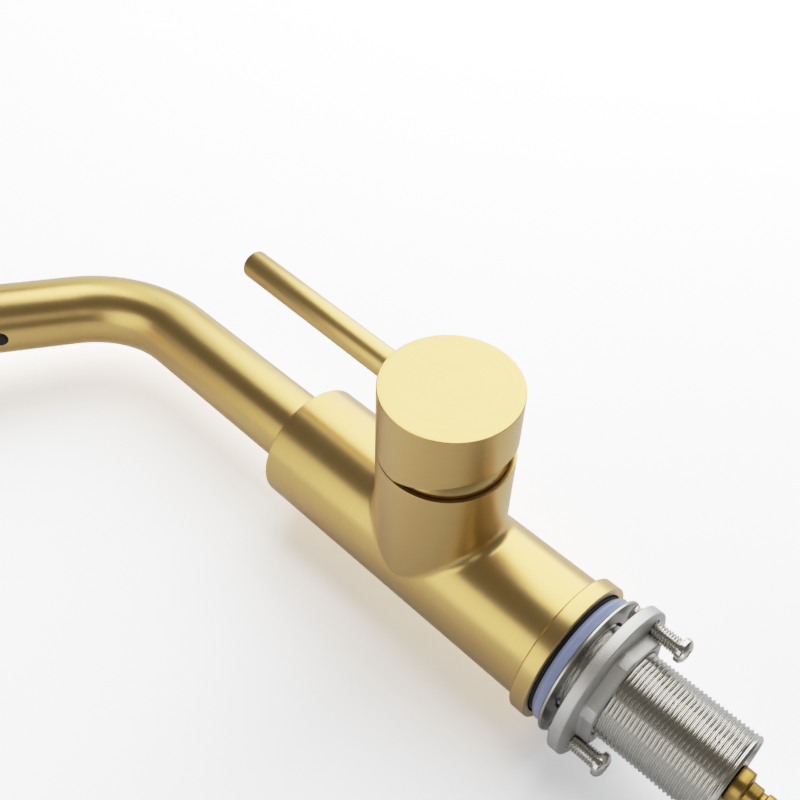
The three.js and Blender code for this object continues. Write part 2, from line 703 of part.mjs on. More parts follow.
function elbowTube() {
  const path = wandPath(ELBOW_START, WAND_NOSE - ELBOW_SHORT);
  return swept(path, 12, CORE_RADIUS, ELBOW_BORE);
}

// ---------- spray head, in the nose's frame: +Z is the way the water leaves, 0 is the shell's rim ----------
function faceHousing() {
  return turned([
    [6.5, -11.7], [12.6, -11.7], [12.6, -0.4], [11.5, -0.4], [11.5, -5], [6.5, -5],
  ], MEDIUM);
}

function nozzlePlaces() {
  const places = [];
  for (let spot = 0; spot < NOZZLES; spot += 1) {
    const angle = (spot / NOZZLES) * 2 * Math.PI;
    places.push([NOZZLE_CIRCLE * Math.cos(angle), NOZZLE_CIRCLE * Math.sin(angle)]);
  }
  return places;
}

function nozzleMat() {
  const disc = ring(...MAT, MEDIUM);
  const nubs = nozzlePlaces().map(([x, y]) => {
    const nub = turned([[0, -4], [0.85, -4], [0.6, 0.2], [0, 0.2]], 8);
    return nub.translate(x, y, 0);
  });
  return join(disc, ...nubs);
}

function sprayFace() {
  const plate = ring(...FACE, MEDIUM);
  const holes = nozzlePlaces().map(([x, y]) => rod(NOZZLE_HOLE, -5, 1, COARSE).translate(x, y, 0));
  return cut(plate, ...holes);
}

function aerator() {
  return cut(rod(...AERATOR, MEDIUM), rod(...AERATOR_MOUTH, 0, MEDIUM));
}

// ---------- assembly ----------
const faucet = new THREE.Group();

faucet.add(
  piece('base_ring', baseRing(), brushedGold),
  piece('base_seal', baseSeal(), blackRubber),
  piece('deck_gasket', deckGasket(), clearGasket),
  piece('clamp_washer', clampWasher(), steel),
  piece('mounting_nut', mountingNut(), zinc),
  piece('threaded_shank', threadedShank(), brass),
  piece('faucet_body', faucetBody(), brushedGold),
  piece('spout_stop_screw', spoutStopScrew(), steel),
);

JACK_ANGLES.forEach((angle, place) => {
  const screw = piece(`jack_screw_${place + 1}`, jackScrew(), steel);
  screw.position.set(JACK_CIRCLE * Math.cos(angle * DEG), JACK_CIRCLE * Math.sin(angle * DEG), 0);
  screw.rotation.z = angle * DEG;
  faucet.add(screw);
});

const handleSide = new THREE.Group();
handleSide.position.z = PORT_HEIGHT;
handleSide.rotation.y = Math.PI / 2;
handleSide.add(
  piece('cartridge_base', cartridgeBase(), greyPlastic),
  piece('cartridge_housing', cartridgeHousing(), whitePlastic),
  piece('fixed_disc', fixedDisc(), ceramic),
  piece('moving_disc', movingDisc(), ceramic),
  piece('disc_carrier', discCarrier(), whitePlastic),
  piece('swivel_guide', swivelGuide(), greyPlastic),
  piece('pivot_pin', pivotPin(), steel),
  piece('spindle', spindle(), brass),
  piece('cartridge_nut', cartridgeNut(), brass),
  piece('dome_ring', domeRing(), brushedGold),
  piece('handle_cap', handleCap(), brushedGold),
  piece('lever_rod', leverRod(), brushedGold),
  piece('grub_screw', grubScrew(), steel),
  piece('handle_plug', handlePlug(), brushedGold),
);
const portNames = ['hot', 'cold', 'mixed'];
portPattern().forEach(([x, y], place) => {
  const seal = piece(`port_seal_${portNames[place]}`, portSeal(), blackRubber);
  seal.position.set(x, y, 0);
  handleSide.add(seal);
});
faucet.add(handleSide);

const spout = new THREE.Group();
spout.rotation.z = SPOUT_YAW;
const lowerSeal = piece('spout_seal_lower', spoutSeal(), blackRubber);
const upperSeal = piece('spout_seal_upper', spoutSeal(), blackRubber);
upperSeal.position.z = SPOUT_SEAL_STEP;
spout.add(
  piece('spout_tube', spoutTube(), brushedGold),
  piece('spout_adapter', spoutAdapter(), brass),
  lowerSeal,
  upperSeal,
  piece('glide_ring', glideRing(), whitePlastic),
  piece('spray_hose', sprayHose(), braid),
  piece('hose_connector', hoseConnector(), brass),
);

const arm = new THREE.Group();
arm.position.z = CORNER_HEIGHT;
arm.rotation.x = BEND_ANGLE;
arm.add(
  piece('wand_dock', wandDock(), blackPlastic),
  piece('wand_shell', wandShell(), brushedGold),
  piece('mode_button', modeButton(), blackRubber),
  piece('button_spring', buttonSpring(), steel),
  piece('wand_core', wandCore(), blackPlastic),
  piece('hose_nut', hoseNut(), brass),
  piece('check_valve', checkValve(), whitePlastic),
  piece('elbow_tube', elbowTube(), blackPlastic),
);

const rim = wandPath(WAND_START, WAND_NOSE).getPoint(1);
const nose = new THREE.Group();
nose.position.copy(rim);
nose.rotation.x = WAND_TURN;
nose.add(
  piece('face_housing', faceHousing(), blackPlastic),
  piece('nozzle_mat', nozzleMat(), silicone),
  piece('spray_face', sprayFace(), greyPlastic),
  piece('aerator', aerator(), blackPlastic),
);
arm.add(nose);
spout.add(arm);
faucet.add(spout);

export default faucet;
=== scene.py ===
# %% [markdown]
# # A brushed gold kitchen faucet with a pull-out wand
# The working model arrives as a fixed frame of faceted solids: every axis, size and joint is settled there.
# This notebook gives each piece that shows a smooth surface and a finish, and then lights it.
# All lengths below are in metres, in the frame's own axes: +Z up the body, the lever on +X, the spout to -Y.

import json
import math

import bmesh
import bpy
import numpy as np
from mathutils import Matrix, Vector


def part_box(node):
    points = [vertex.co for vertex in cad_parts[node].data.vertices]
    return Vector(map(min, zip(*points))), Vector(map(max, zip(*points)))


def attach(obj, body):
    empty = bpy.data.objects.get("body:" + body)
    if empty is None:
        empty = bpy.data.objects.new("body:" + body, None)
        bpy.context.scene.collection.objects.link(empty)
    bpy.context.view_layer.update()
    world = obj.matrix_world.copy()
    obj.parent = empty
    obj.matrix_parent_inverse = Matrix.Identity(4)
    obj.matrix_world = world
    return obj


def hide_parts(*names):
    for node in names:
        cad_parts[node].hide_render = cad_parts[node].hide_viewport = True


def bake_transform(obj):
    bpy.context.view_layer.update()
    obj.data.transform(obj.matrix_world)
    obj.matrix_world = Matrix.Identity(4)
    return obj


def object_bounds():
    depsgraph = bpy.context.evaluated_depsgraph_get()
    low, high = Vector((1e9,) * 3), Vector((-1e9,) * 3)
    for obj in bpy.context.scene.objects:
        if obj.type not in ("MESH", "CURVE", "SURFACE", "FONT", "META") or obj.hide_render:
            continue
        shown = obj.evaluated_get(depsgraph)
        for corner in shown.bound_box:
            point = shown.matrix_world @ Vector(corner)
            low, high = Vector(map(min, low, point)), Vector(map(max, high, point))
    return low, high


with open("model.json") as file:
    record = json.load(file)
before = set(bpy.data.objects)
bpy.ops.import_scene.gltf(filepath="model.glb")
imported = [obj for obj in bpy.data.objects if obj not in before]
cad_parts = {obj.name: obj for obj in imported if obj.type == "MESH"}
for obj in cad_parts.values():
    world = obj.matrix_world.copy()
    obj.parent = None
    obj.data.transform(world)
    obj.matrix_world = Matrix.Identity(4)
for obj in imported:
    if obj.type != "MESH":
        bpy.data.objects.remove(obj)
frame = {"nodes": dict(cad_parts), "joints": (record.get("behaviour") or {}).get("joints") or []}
CAD_LOW, CAD_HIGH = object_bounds()
MM = 0.001
print("frame box, mm:", [round(v / MM, 1) for v in (CAD_HIGH - CAD_LOW)])

# %% [markdown]
# ## The camera
# The faucet lies on its side for its portrait: the camera looks at it from below the deck, from the lever's
# side, and is rolled so that the lever's axis comes up the picture. It is a normal lens at arm's length.
# Five numbers say it all: what it looks at, from how far, from which azimuth and elevation, and the roll.

# %% Camera
AIM = Vector((27.8, 20.4, 100.8)) * MM
DISTANCE = 380 * MM
AZIMUTH, ELEVATION, ROLL = (math.radians(a) for a in (55.318, -28.067, 53.64))
LENS, SENSOR = 47.56, 36.0

back = Vector((
    math.sin(AZIMUTH) * math.cos(ELEVATION),
    -math.cos(AZIMUTH) * math.cos(ELEVATION),
    math.sin(ELEVATION),
))
level = Vector((math.cos(AZIMUTH), math.sin(AZIMUTH), 0))
above = back.cross(level)
right = level * math.cos(ROLL) - above * math.sin(ROLL)
up = above * math.cos(ROLL) + level * math.sin(ROLL)
camera = bpy.data.objects.new("camera", bpy.data.cameras.new("camera"))
bpy.context.scene.collection.objects.link(camera)
facing = Matrix((right, up, back)).transposed().to_4x4()
camera.matrix_world = Matrix.Translation(AIM + back * DISTANCE) @ facing
camera.data.lens, camera.data.sensor_width = LENS, SENSOR
camera.data.clip_start, camera.data.clip_end = 0.01, 20
bpy.context.scene.camera = camera
print("camera at, mm:", [round(v / MM, 1) for v in camera.matrix_world.translation])
print("right, down:", [round(v, 4) for v in right], [round(-v, 4) for v in up])

# %% [markdown]
# ## Sizes taken from the frame
# Nothing is fitted by hand: each radius and height is read from the box of the solid that it belongs to.

# %% Sizes from the frame
def reach(node, axis, side):
    """The lowest (side 0) or highest (side 1) coordinate of a solid along one axis."""
    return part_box(node)[side][axis]


BODY_R = reach("faucet_body", 1, 1)
BODY_TOP = reach("faucet_body", 2, 1)
BODY_FOOT = reach("faucet_body", 2, 0)
PORT_RIM = reach("faucet_body", 0, 1)
PORT_Z = (reach("handle_cap", 2, 0) + reach("handle_cap", 2, 1)) / 2
CAP_R = (reach("handle_cap", 2, 1) - reach("handle_cap", 2, 0)) / 2
CAP_EDGE, CAP_TOP = reach("handle_cap", 0, 0), reach("handle_cap", 0, 1)
LEVER_X = (reach("lever_rod", 0, 0) + reach("lever_rod", 0, 1)) / 2
LEVER_R = (reach("lever_rod", 0, 1) - reach("lever_rod", 0, 0)) / 2
LEVER_TIP = reach("lever_rod", 2, 1)
PIVOT_X = (reach("pivot_pin", 0, 0) + reach("pivot_pin", 0, 1)) / 2
SHANK_R = reach("threaded_shank", 1, 1)
SHANK_LOW, SHANK_HIGH = reach("threaded_shank", 2, 0), reach("threaded_shank", 2, 1)
print("body radius and top, mm:", round(BODY_R / MM, 2), round(BODY_TOP / MM, 2))

# %% [markdown]
# ## Where the spout runs
# The wand slides along the arm, so the joint itself says which way the arm points. The spout is a round tube
# bent once, to a 45 mm radius; the wand goes on along the same line and turns down at its nose.

# %% The arm's direction and the tube's sizes
joints = {joint["name"]: joint for joint in frame["joints"]}
ARM = Vector(joints["wand_pull"]["axis"]).normalized()
UNDER = -Vector(joints["mode_press"]["axis"]).normalized()
ACROSS = UNDER.cross(ARM)
CORNER = Vector((0, 0, 236.8 * MM))
BEND_R, ARM_END, TUBE_WALL = 45 * MM, 34 * MM, 1.2 * MM
TUBE_R = 14.1 * MM
BEND_ANGLE = ARM.angle(Vector((0, 0, 1)))
BEND_TANGENT = BEND_R * math.tan(BEND_ANGLE / 2)
NOSE_S, NOSE_R, NOSE_TAIL = 165 * MM, 32 * MM, 24 * MM
print("arm rises, degrees:", round(90 - math.degrees(BEND_ANGLE), 2))

# %% [markdown]
# ## From grids to closed pieces
# Every new surface is a grid of points worked out as one numpy array. Grids that meet share their edge
# points, so welding the doubles closes the piece. Turned parts keep one more value on each corner: where it
# lies along and around its own axis, because that is how the finish was brushed.

# %% Mesh helpers
COLLECTION = bpy.context.scene.collection
SHARP = math.radians(28)


def grid_faces(rows, columns, first):
    """Quads between neighbouring rows and columns of a grid whose points start at `first`."""
    index = np.arange(rows * columns).reshape(rows, columns) + first
    corners = (index[:-1, :-1], index[:-1, 1:], index[1:, 1:], index[1:, :-1])
    return np.stack(corners, axis=-1).reshape(-1, 4)


def across_grain(points):
    """The direction from each row of a grid to the next: square to the scratches, which run along rows."""
    step = np.gradient(points, axis=0)
    return step / np.maximum(np.linalg.norm(step, axis=-1, keepdims=True), 1e-9)


def store(mesh, name, values, faces):
    """Keeps one vector for each corner of each face, for the finish to read."""
    layer = mesh.attributes.new(name, "FLOAT_VECTOR", "CORNER")
    layer.data.foreach_set("vector", values[faces.ravel()].astype(np.float32).ravel())


def build(name, patches, weld=2e-6, sharp=SHARP):
    """Joins grids of (points, brush coordinates) into one closed mesh: equal points are welded, faces turned
    outwards, and an edge is kept hard only where the angle across it is sharp."""
    points = np.concatenate([p.reshape(-1, 3) for p, _ in patches])
    grain = np.concatenate([across_grain(p).reshape(-1, 3) for p, _ in patches])
    brush = np.concatenate([b.reshape(-1, 3) for _, b in patches])
    starts = np.cumsum([0] + [p.shape[0] * p.shape[1] for p, _ in patches])
    faces = np.concatenate([grid_faces(*p.shape[:2], s) for (p, _), s in zip(patches, starts)])
    mesh = bpy.data.meshes.new(name)
    mesh.from_pydata(points, [], faces)
    store(mesh, "brush", brush, faces)
    store(mesh, "grain", grain, faces)
    shape = bmesh.new()
    shape.from_mesh(mesh)
    bmesh.ops.remove_doubles(shape, verts=shape.verts, dist=weld)
    bmesh.ops.dissolve_degenerate(shape, edges=shape.edges, dist=weld / 4)
    bmesh.ops.recalc_face_normals(shape, faces=shape.faces)
    shape.to_mesh(mesh)
    open_edges = sum(not edge.is_manifold for edge in shape.edges)
    shape.free()
    mesh.shade_smooth()
    mesh.set_sharp_from_angle(angle=sharp)
    piece = bpy.data.objects.new(name, mesh)
    COLLECTION.objects.link(piece)
    print(f"{name}: {len(mesh.polygons)} faces, {open_edges} open edges")
    return piece


def place(piece, matrix):
    """Moves the points of a piece, so that its object stays at the origin."""
    piece.data.transform(matrix)
    return piece


def fit(piece, body, material, *nodes, slot=None):
    """Gives a finished piece its material, the body it rides on and the solids that it stands for."""
    piece.data.materials.clear()
    piece.data.materials.append(material)
    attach(piece, body)
    if nodes:
        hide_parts(*nodes)
    return piece


def take_away(piece, cutter):
    """Cuts the cutter's shape out of the piece and removes the cutter."""
    cut = piece.modifiers.new("cut", "BOOLEAN")
    cut.operation, cut.object, cut.solver = "DIFFERENCE", cutter, "EXACT"
    bpy.context.view_layer.update()
    evaluated = piece.evaluated_get(bpy.context.evaluated_depsgraph_get())
    mesh = bpy.data.meshes.new_from_object(evaluated)
    piece.modifiers.clear()
    piece.data = mesh
    bpy.data.objects.remove(cutter)
    mesh.shade_smooth()
    mesh.set_sharp_from_angle(angle=SHARP)
    return piece


# %% [markdown]
# ## Turned shapes
# Most of a faucet is lathe work. A profile is a list of corners (radius, height, corner radius); each corner
# is replaced by a true arc, with one extra point just before and after it so that the flats stay flat when
# they are shaded. No real edge is perfectly sharp, and it is these small arcs that catch the light.

# %% Profiles and turning
TURN = 2 * np.pi
SUPPORT = 0.06 * MM
SPIN = 0.012            # brush coordinates run round a circle of this radius, whatever the part's own


def brushed(angle, along):
    """Brush coordinates: round a fixed circle with the angle, and straight with the distance along."""
    return np.stack(np.broadcast_arrays(SPIN * np.cos(angle), SPIN * np.sin(angle), along), axis=-1)


def rounded(corners, closed=False, steps=5):
    """Corners (a, b, radius) become points: a corner with a radius is an arc tangent to both its sides."""
    count = len(corners)
    points = []
    for k, (a, b, radius) in enumerate(corners):
        here = np.array((a, b), float)
        if radius <= 0 or (not closed and k in (0, count - 1)):
            points.append(here)
            continue
        before = np.array(corners[k - 1][:2], float) - here
        after = np.array(corners[(k + 1) % count][:2], float) - here
        p, q = before / np.linalg.norm(before), after / np.linalg.norm(after)
        half = math.acos(np.clip(p @ q, -1, 1)) / 2
        setback = min(radius / math.tan(half), 0.48 * min(np.linalg.norm(before), np.linalg.norm(after)))
        radius = setback * math.tan(half)
        centre = here + (p + q) / np.linalg.norm(p + q) * radius / math.sin(half)
        start, end = here + p * setback - centre, here + q * setback - centre
        sweep = math.pi - 2 * half
        share = np.linspace(0, 1, steps + 1)[:, None]
        arc = (np.sin((1 - share) * sweep) * start + np.sin(share * sweep) * end) / math.sin(sweep)
        room = min(SUPPORT, np.linalg.norm(before) - setback, np.linalg.norm(after) - setback)
        points.extend([here + p * (setback + 0.5 * room), *(centre + arc), here + q * (setback + 0.5 * room)])
    if closed:
        points.append(points[0])
    return np.array(points)


def turned(profile, angles):
    """A profile of (radius, height) points carried round the Z axis at the given angles: x = r cos a,
    y = r sin a."""
    radius, height = profile[:, 0, None], profile[:, 1, None]
    spin = angles[None, :]
    points = np.stack(np.broadcast_arrays(radius * np.cos(spin), radius * np.sin(spin), height), axis=-1)
    travel = np.concatenate([[0], np.cumsum(np.linalg.norm(np.diff(profile, axis=0), axis=1))])
    return points, brushed(spin, profile[0, 1] + travel[:, None])


def ring_angles(count):
    """Angles all the way round, with the last equal to the first so that the seam closes."""
    return np.linspace(0, TURN, count + 1)


def lathe(name, corners, count=160, closed=True, places=None):
    """One turned piece about the Z axis; an open profile starts and ends on the axis."""
    piece = build(name, [turned(rounded(corners, closed) * MM, ring_angles(count))])
    return place(piece, places) if places is not None else piece


ONTO_X = Matrix.Translation((0, 0, PORT_Z)) @ Matrix.Rotation(math.pi / 2, 4, "Y")

# %% [markdown]
# ## One function for nodes, one for colours
# Colours are written as they are picked, in sRGB hex, and turned to the linear values that the renderer uses.

# %% Node and colour helpers
def linear(code):
    """#rrggbb in sRGB to linear red, green, blue and alpha 1."""
    values = np.array([int(code[k:k + 2], 16) for k in (1, 3, 5)]) / 255
    low, high = values / 12.92, ((values + 0.055) / 1.055) ** 2.4
    return (*np.where(values <= 0.04045, low, high), 1.0)


def add(tree, kind, inputs=None, **settings):
    """Adds a node, sets its properties, then fills each input from a value or from another node's output."""
    made = tree.nodes.new(kind)
    for key, value in settings.items():
        setattr(made, key, value)
    for socket, value in (inputs or {}).items():
        if isinstance(value, bpy.types.NodeSocket):
            tree.links.new(value, made.inputs[socket])
        else:
            made.inputs[socket].default_value = value
    return made


def start_material(name):
    """A new material with an empty tree; returns the material and the tree."""
    material = bpy.data.materials.new(name)
    material.use_nodes = True
    material.node_tree.nodes.clear()
    return material, material.node_tree


def end_material(tree, shader):
    """Links the last shader to the surface."""
    add(tree, "ShaderNodeOutputMaterial", {"Surface": shader.outputs[0]})


# %% [markdown]
# ## Brushed gold
# The gold parts are brass, polished with a fine abrasive web while they turn and then coated in a vacuum with
# a thin golden nitride film. The web leaves hair-fine lines around each part. They blur a reflection far more
# across the lines than along them, so lights are drawn out into long soft bands: this is the anisotropic part
# of the shader, and the grain direction kept on each corner tells it which way. The film adds a weak pale
# sheen at glancing angles, which the coat gives.

# %% Material: brushed gold
HAIR = 0.35 * MM        # distance between lines; a web leaves them 0.03 mm apart, too fine to show
ROUGH = 0.32            # a web finish: soft lights, but their shape can still be made out
DRIFT = 9 * MM          # the slow change of tone along a part, where the web was lifted and put back


def grain_direction(tree):
    """The grain kept on the corners, turned from the piece's own axes to the room's."""
    kept = add(tree, "ShaderNodeAttribute", attribute_name="grain")
    return add(tree, "ShaderNodeVectorTransform", {"Vector": kept.outputs["Vector"]},
               vector_type="VECTOR", convert_from="OBJECT", convert_to="WORLD").outputs[0]


def line_noise(tree, spacing, around=60):
    """Noise that changes every `spacing` along the part and only slowly around it."""
    where = add(tree, "ShaderNodeAttribute", attribute_name="brush")
    stretch = add(tree, "ShaderNodeMapping", {
        "Vector": where.outputs["Vector"], "Scale": (around, around, 1 / spacing),
    })
    return add(tree, "ShaderNodeTexNoise", {
        "Vector": stretch.outputs[0], "Scale": 1.0, "Detail": 2.0, "Roughness": 0.6,
    }).outputs["Fac"]


def blend_colour(tree, factor, first, second):
    """Mixes two sRGB colours by a factor."""
    mix = add(tree, "ShaderNodeMix", data_type="RGBA")
    colours = [socket for socket in mix.inputs if socket.type == "RGBA"]
    colours[0].default_value, colours[1].default_value = linear(first), linear(second)
    tree.links.new(factor, mix.inputs["Factor"])
    return next(socket for socket in mix.outputs if socket.type == "RGBA")


def brushed_gold(name, lengthwise=False):
    """The web ran round the part, or, on the thin lever, straight along it."""
    material, tree = start_material(name)
    lines = line_noise(tree, 40 * HAIR, 6000) if lengthwise else line_noise(tree, HAIR, 90)
    tone = blend_colour(tree, lines, "#dfbe72", "#ecca80")
    haze = add(tree, "ShaderNodeMapRange", {
        "Value": line_noise(tree, DRIFT, 30), "To Min": ROUGH - 0.03, "To Max": ROUGH + 0.03,
    })
    bump = add(tree, "ShaderNodeBump", {"Height": lines, "Strength": 0.14, "Distance": 0.02 * MM})
    shader = add(tree, "ShaderNodeBsdfPrincipled", {
        "Base Color": tone, "Metallic": 1.0, "Roughness": haze.outputs[0], "Normal": bump.outputs[0],
        "Anisotropic": 0.5, "Anisotropic Rotation": 0.25 if lengthwise else 0.0,
        "Tangent": grain_direction(tree), "Coat Weight": 0.8, "Coat Roughness": 0.35,
        "Sheen Weight": 0.2, "Sheen Roughness": 0.3,
    })
    end_material(tree, shader)
    return material


GOLD = brushed_gold("brass_brushed_round_pvd_gold")
GOLD_LONG = brushed_gold("brass_brushed_lengthwise_pvd_gold", lengthwise=True)
print("gold lines every", HAIR / MM, "mm")

# %% [markdown]
# ## The other metals
# The nut is a zinc casting, tumbled with stones: a fine, even, grainy grey. The washer is pressed from
# stainless sheet, the screws and the threaded shank are cut and nickel plated, so their flanks stay bright.
# The inner brass parts keep their fine turning marks.

# %% Materials: zinc, steel, nickel and brass
def metal(name, low, high, rough, spread, grain, depth, turned_lines=False):
    """A metal whose tone, roughness and surface follow one noise, either grainy or in turning lines."""
    material, tree = start_material(name)
    if turned_lines:
        pattern = line_noise(tree, grain)
    else:
        where = add(tree, "ShaderNodeTexCoord")
        pattern = add(tree, "ShaderNodeTexNoise", {
            "Vector": where.outputs["Object"], "Scale": 1 / grain, "Detail": 4.0, "Roughness": 0.65,
        }).outputs["Fac"]
    haze = add(tree, "ShaderNodeMapRange", {
        "Value": pattern, "To Min": rough - spread, "To Max": rough + spread,
    })
    bump = add(tree, "ShaderNodeBump", {"Height": pattern, "Strength": 0.6, "Distance": depth})
    shader = add(tree, "ShaderNodeBsdfPrincipled", {
        "Base Color": blend_colour(tree, pattern, low, high), "Metallic": 1.0,
        "Roughness": haze.outputs[0], "Normal": bump.outputs[0],
    })
    end_material(tree, shader)
    return material


ZINC = metal("zinc_cast_and_tumbled", "#bfc0c0", "#f0f0ee", 0.5, 0.08, 0.5 * MM, 0.08 * MM)
STAINLESS = metal("stainless_sheet_pressed", "#c2c2c0", "#d6d6d2", 0.3, 0.05, 0.6 * MM, 0.003 * MM)
NICKEL = metal("steel_nickel_plated_threads", "#d2d1cc", "#e6e5e0", 0.2, 0.05, 0.8 * MM, 0.004 * MM)
BRASS = metal("brass_machined_bare", "#b08f4a", "#cdae66", 0.3, 0.08, 1.0 * MM, 0.02 * MM)
TURNED_BRASS = metal("brass_turned_on_a_lathe", "#b08f4a", "#cdae66", 0.28, 0.08, 0.3 * MM, 0.01 * MM, True)
print("metals:", [m.name for m in (ZINC, STAINLESS, NICKEL, BRASS)])

# %% [markdown]
# ## Rubber, plastics, ceramic and the hose's braid
# Moulded parts have no lines: they carry the soft grain of the tool that shaped them. The deck gasket is a
# bluish, half-clear vinyl, which lets light in and glows a little at its edges. The hose is a rubber tube in
# a braided nylon sleeve, drawn as two sets of strands that cross and pass over and under each other, with
# painted shade darkening the hollows between the strands.

# %% Materials: moulded parts
def moulded(name, low, high, rough, grain=0.6 * MM, depth=0.02 * MM, **more):
    """A moulded part: fine noise in tone, roughness and surface; `more` goes straight onto the shader."""
    material, tree = start_material(name)
    where = add(tree, "ShaderNodeTexCoord")
    fine = add(tree, "ShaderNodeTexNoise", {
        "Vector": where.outputs["Object"], "Scale": 1 / grain, "Detail": 3.0,
    }).outputs["Fac"]
    haze = add(tree, "ShaderNodeMapRange", {"Value": fine, "To Min": rough - 0.05, "To Max": rough + 0.05})
    bump = add(tree, "ShaderNodeBump", {"Height": fine, "Strength": 0.4, "Distance": depth})
    shader = add(tree, "ShaderNodeBsdfPrincipled", {
        "Base Color": blend_colour(tree, fine, low, high), "Roughness": haze.outputs[0],
        "Normal": bump.outputs[0],
    })
    for socket, value in more.items():
        shader.inputs[socket.replace("_", " ")].default_value = value
    end_material(tree, shader)
    return material


RUBBER = moulded("rubber_black_moulded", "#0d0d0e", "#161617", 0.55)
VINYL = moulded("vinyl_clear_blue_moulded", "#aebbe2", "#bac6ea", 0.2, 2.5 * MM, 0.01 * MM,
                Subsurface_Weight=0.3, Subsurface_Scale=0.004)
BLACK = moulded("acetal_black_moulded", "#121213", "#1c1c1e", 0.4)
WHITE = moulded("acetal_white_moulded", "#dedcd4", "#ebe9e2", 0.42)
GREY = moulded("plastic_grey_moulded", "#83878b", "#94989c", 0.45)
SILICONE = moulded("silicone_grey_moulded", "#62666a", "#757a7e", 0.5)
CERAMIC = moulded("ceramic_disc_ground_flat", "#ece8dd", "#f6f3ea", 0.16, 2 * MM, 0.004 * MM)


def braided_nylon():
    """Two waves of strands wound left and right round the hose; the higher one at each place is on top, and
    the colour is painted darker where it lies low, as painted shade between the strands.
    """
    material, tree = start_material("nylon_braided_sleeve")
    where = add(tree, "ShaderNodeAttribute", attribute_name="brush")
    parts = add(tree, "ShaderNodeSeparateXYZ", {"Vector": where.outputs["Vector"]})
    spin = add(tree, "ShaderNodeMath", {0: parts.outputs["Y"], 1: parts.outputs["X"]}, operation="ARCTAN2")
    wound = add(tree, "ShaderNodeMath", {0: spin.outputs[0], 1: 8.0}, operation="MULTIPLY")
    run = add(tree, "ShaderNodeMath", {0: parts.outputs["Z"], 1: TURN / (3.2 * MM)}, operation="MULTIPLY")
    waves = []
    for way in ("ADD", "SUBTRACT"):
        phase = add(tree, "ShaderNodeMath", {0: run.outputs[0], 1: wound.outputs[0]}, operation=way)
        waves.append(add(tree, "ShaderNodeMath", {0: phase.outputs[0]}, operation="SINE").outputs[0])
    top = add(tree, "ShaderNodeMath", {0: waves[0], 1: waves[1]}, operation="MAXIMUM")
    share = add(tree, "ShaderNodeMapRange", {"Value": top.outputs[0], "From Min": -1.0})
    bump = add(tree, "ShaderNodeBump", {"Height": share.outputs[0], "Strength": 0.8, "Distance": 0.3 * MM})
    # painted shade: the base colour goes from dark in the low hollows between strands to light on their tops
    shader = add(tree, "ShaderNodeBsdfPrincipled", {
        "Base Color": blend_colour(tree, share.outputs[0], "#3f4145", "#9da0a5"),
        "Roughness": 0.5, "Normal": bump.outputs[0],
    })
    end_material(tree, shader)
    return material


BRAID = braided_nylon()
print("moulded and braided materials ready")

# %% [markdown]
# ## The body
# The body is a brass casting with the handle's port standing out of its side. The two cylinders are almost
# the same size, so they meet in a saddle-shaped curve, and the corner between them is softened by the round
# nose of the grinding tool. Rolling a ball of radius f along both cylinders gives that blend exactly: its
# centre keeps a distance R + f from the body's axis and r + f from the port's, and it touches each cylinder
# on the straight way to that cylinder's axis.

# %% Body with its port
PORT_R = 22.5 * MM
BLEND_R = 4.2 * MM


def body_wall(angle, bottom, top, rows=14):
    """Part of the body's cylinder: x = R cos a, y = R sin a, with z going from bottom to top in even rows."""
    share = np.linspace(0, 1, rows)[:, None]
    z = bottom + (top - bottom) * share
    spin = np.broadcast_to(angle, z.shape)
    points = np.stack([BODY_R * np.cos(spin), BODY_R * np.sin(spin), z], axis=-1)
    return points, brushed(spin, z)


def port_brush(points):
    """Brush coordinates of a surface that was turned about the port's axis."""
    return brushed(np.arctan2(points[..., 1], points[..., 2] - PORT_Z), points[..., 0] + 0.2)


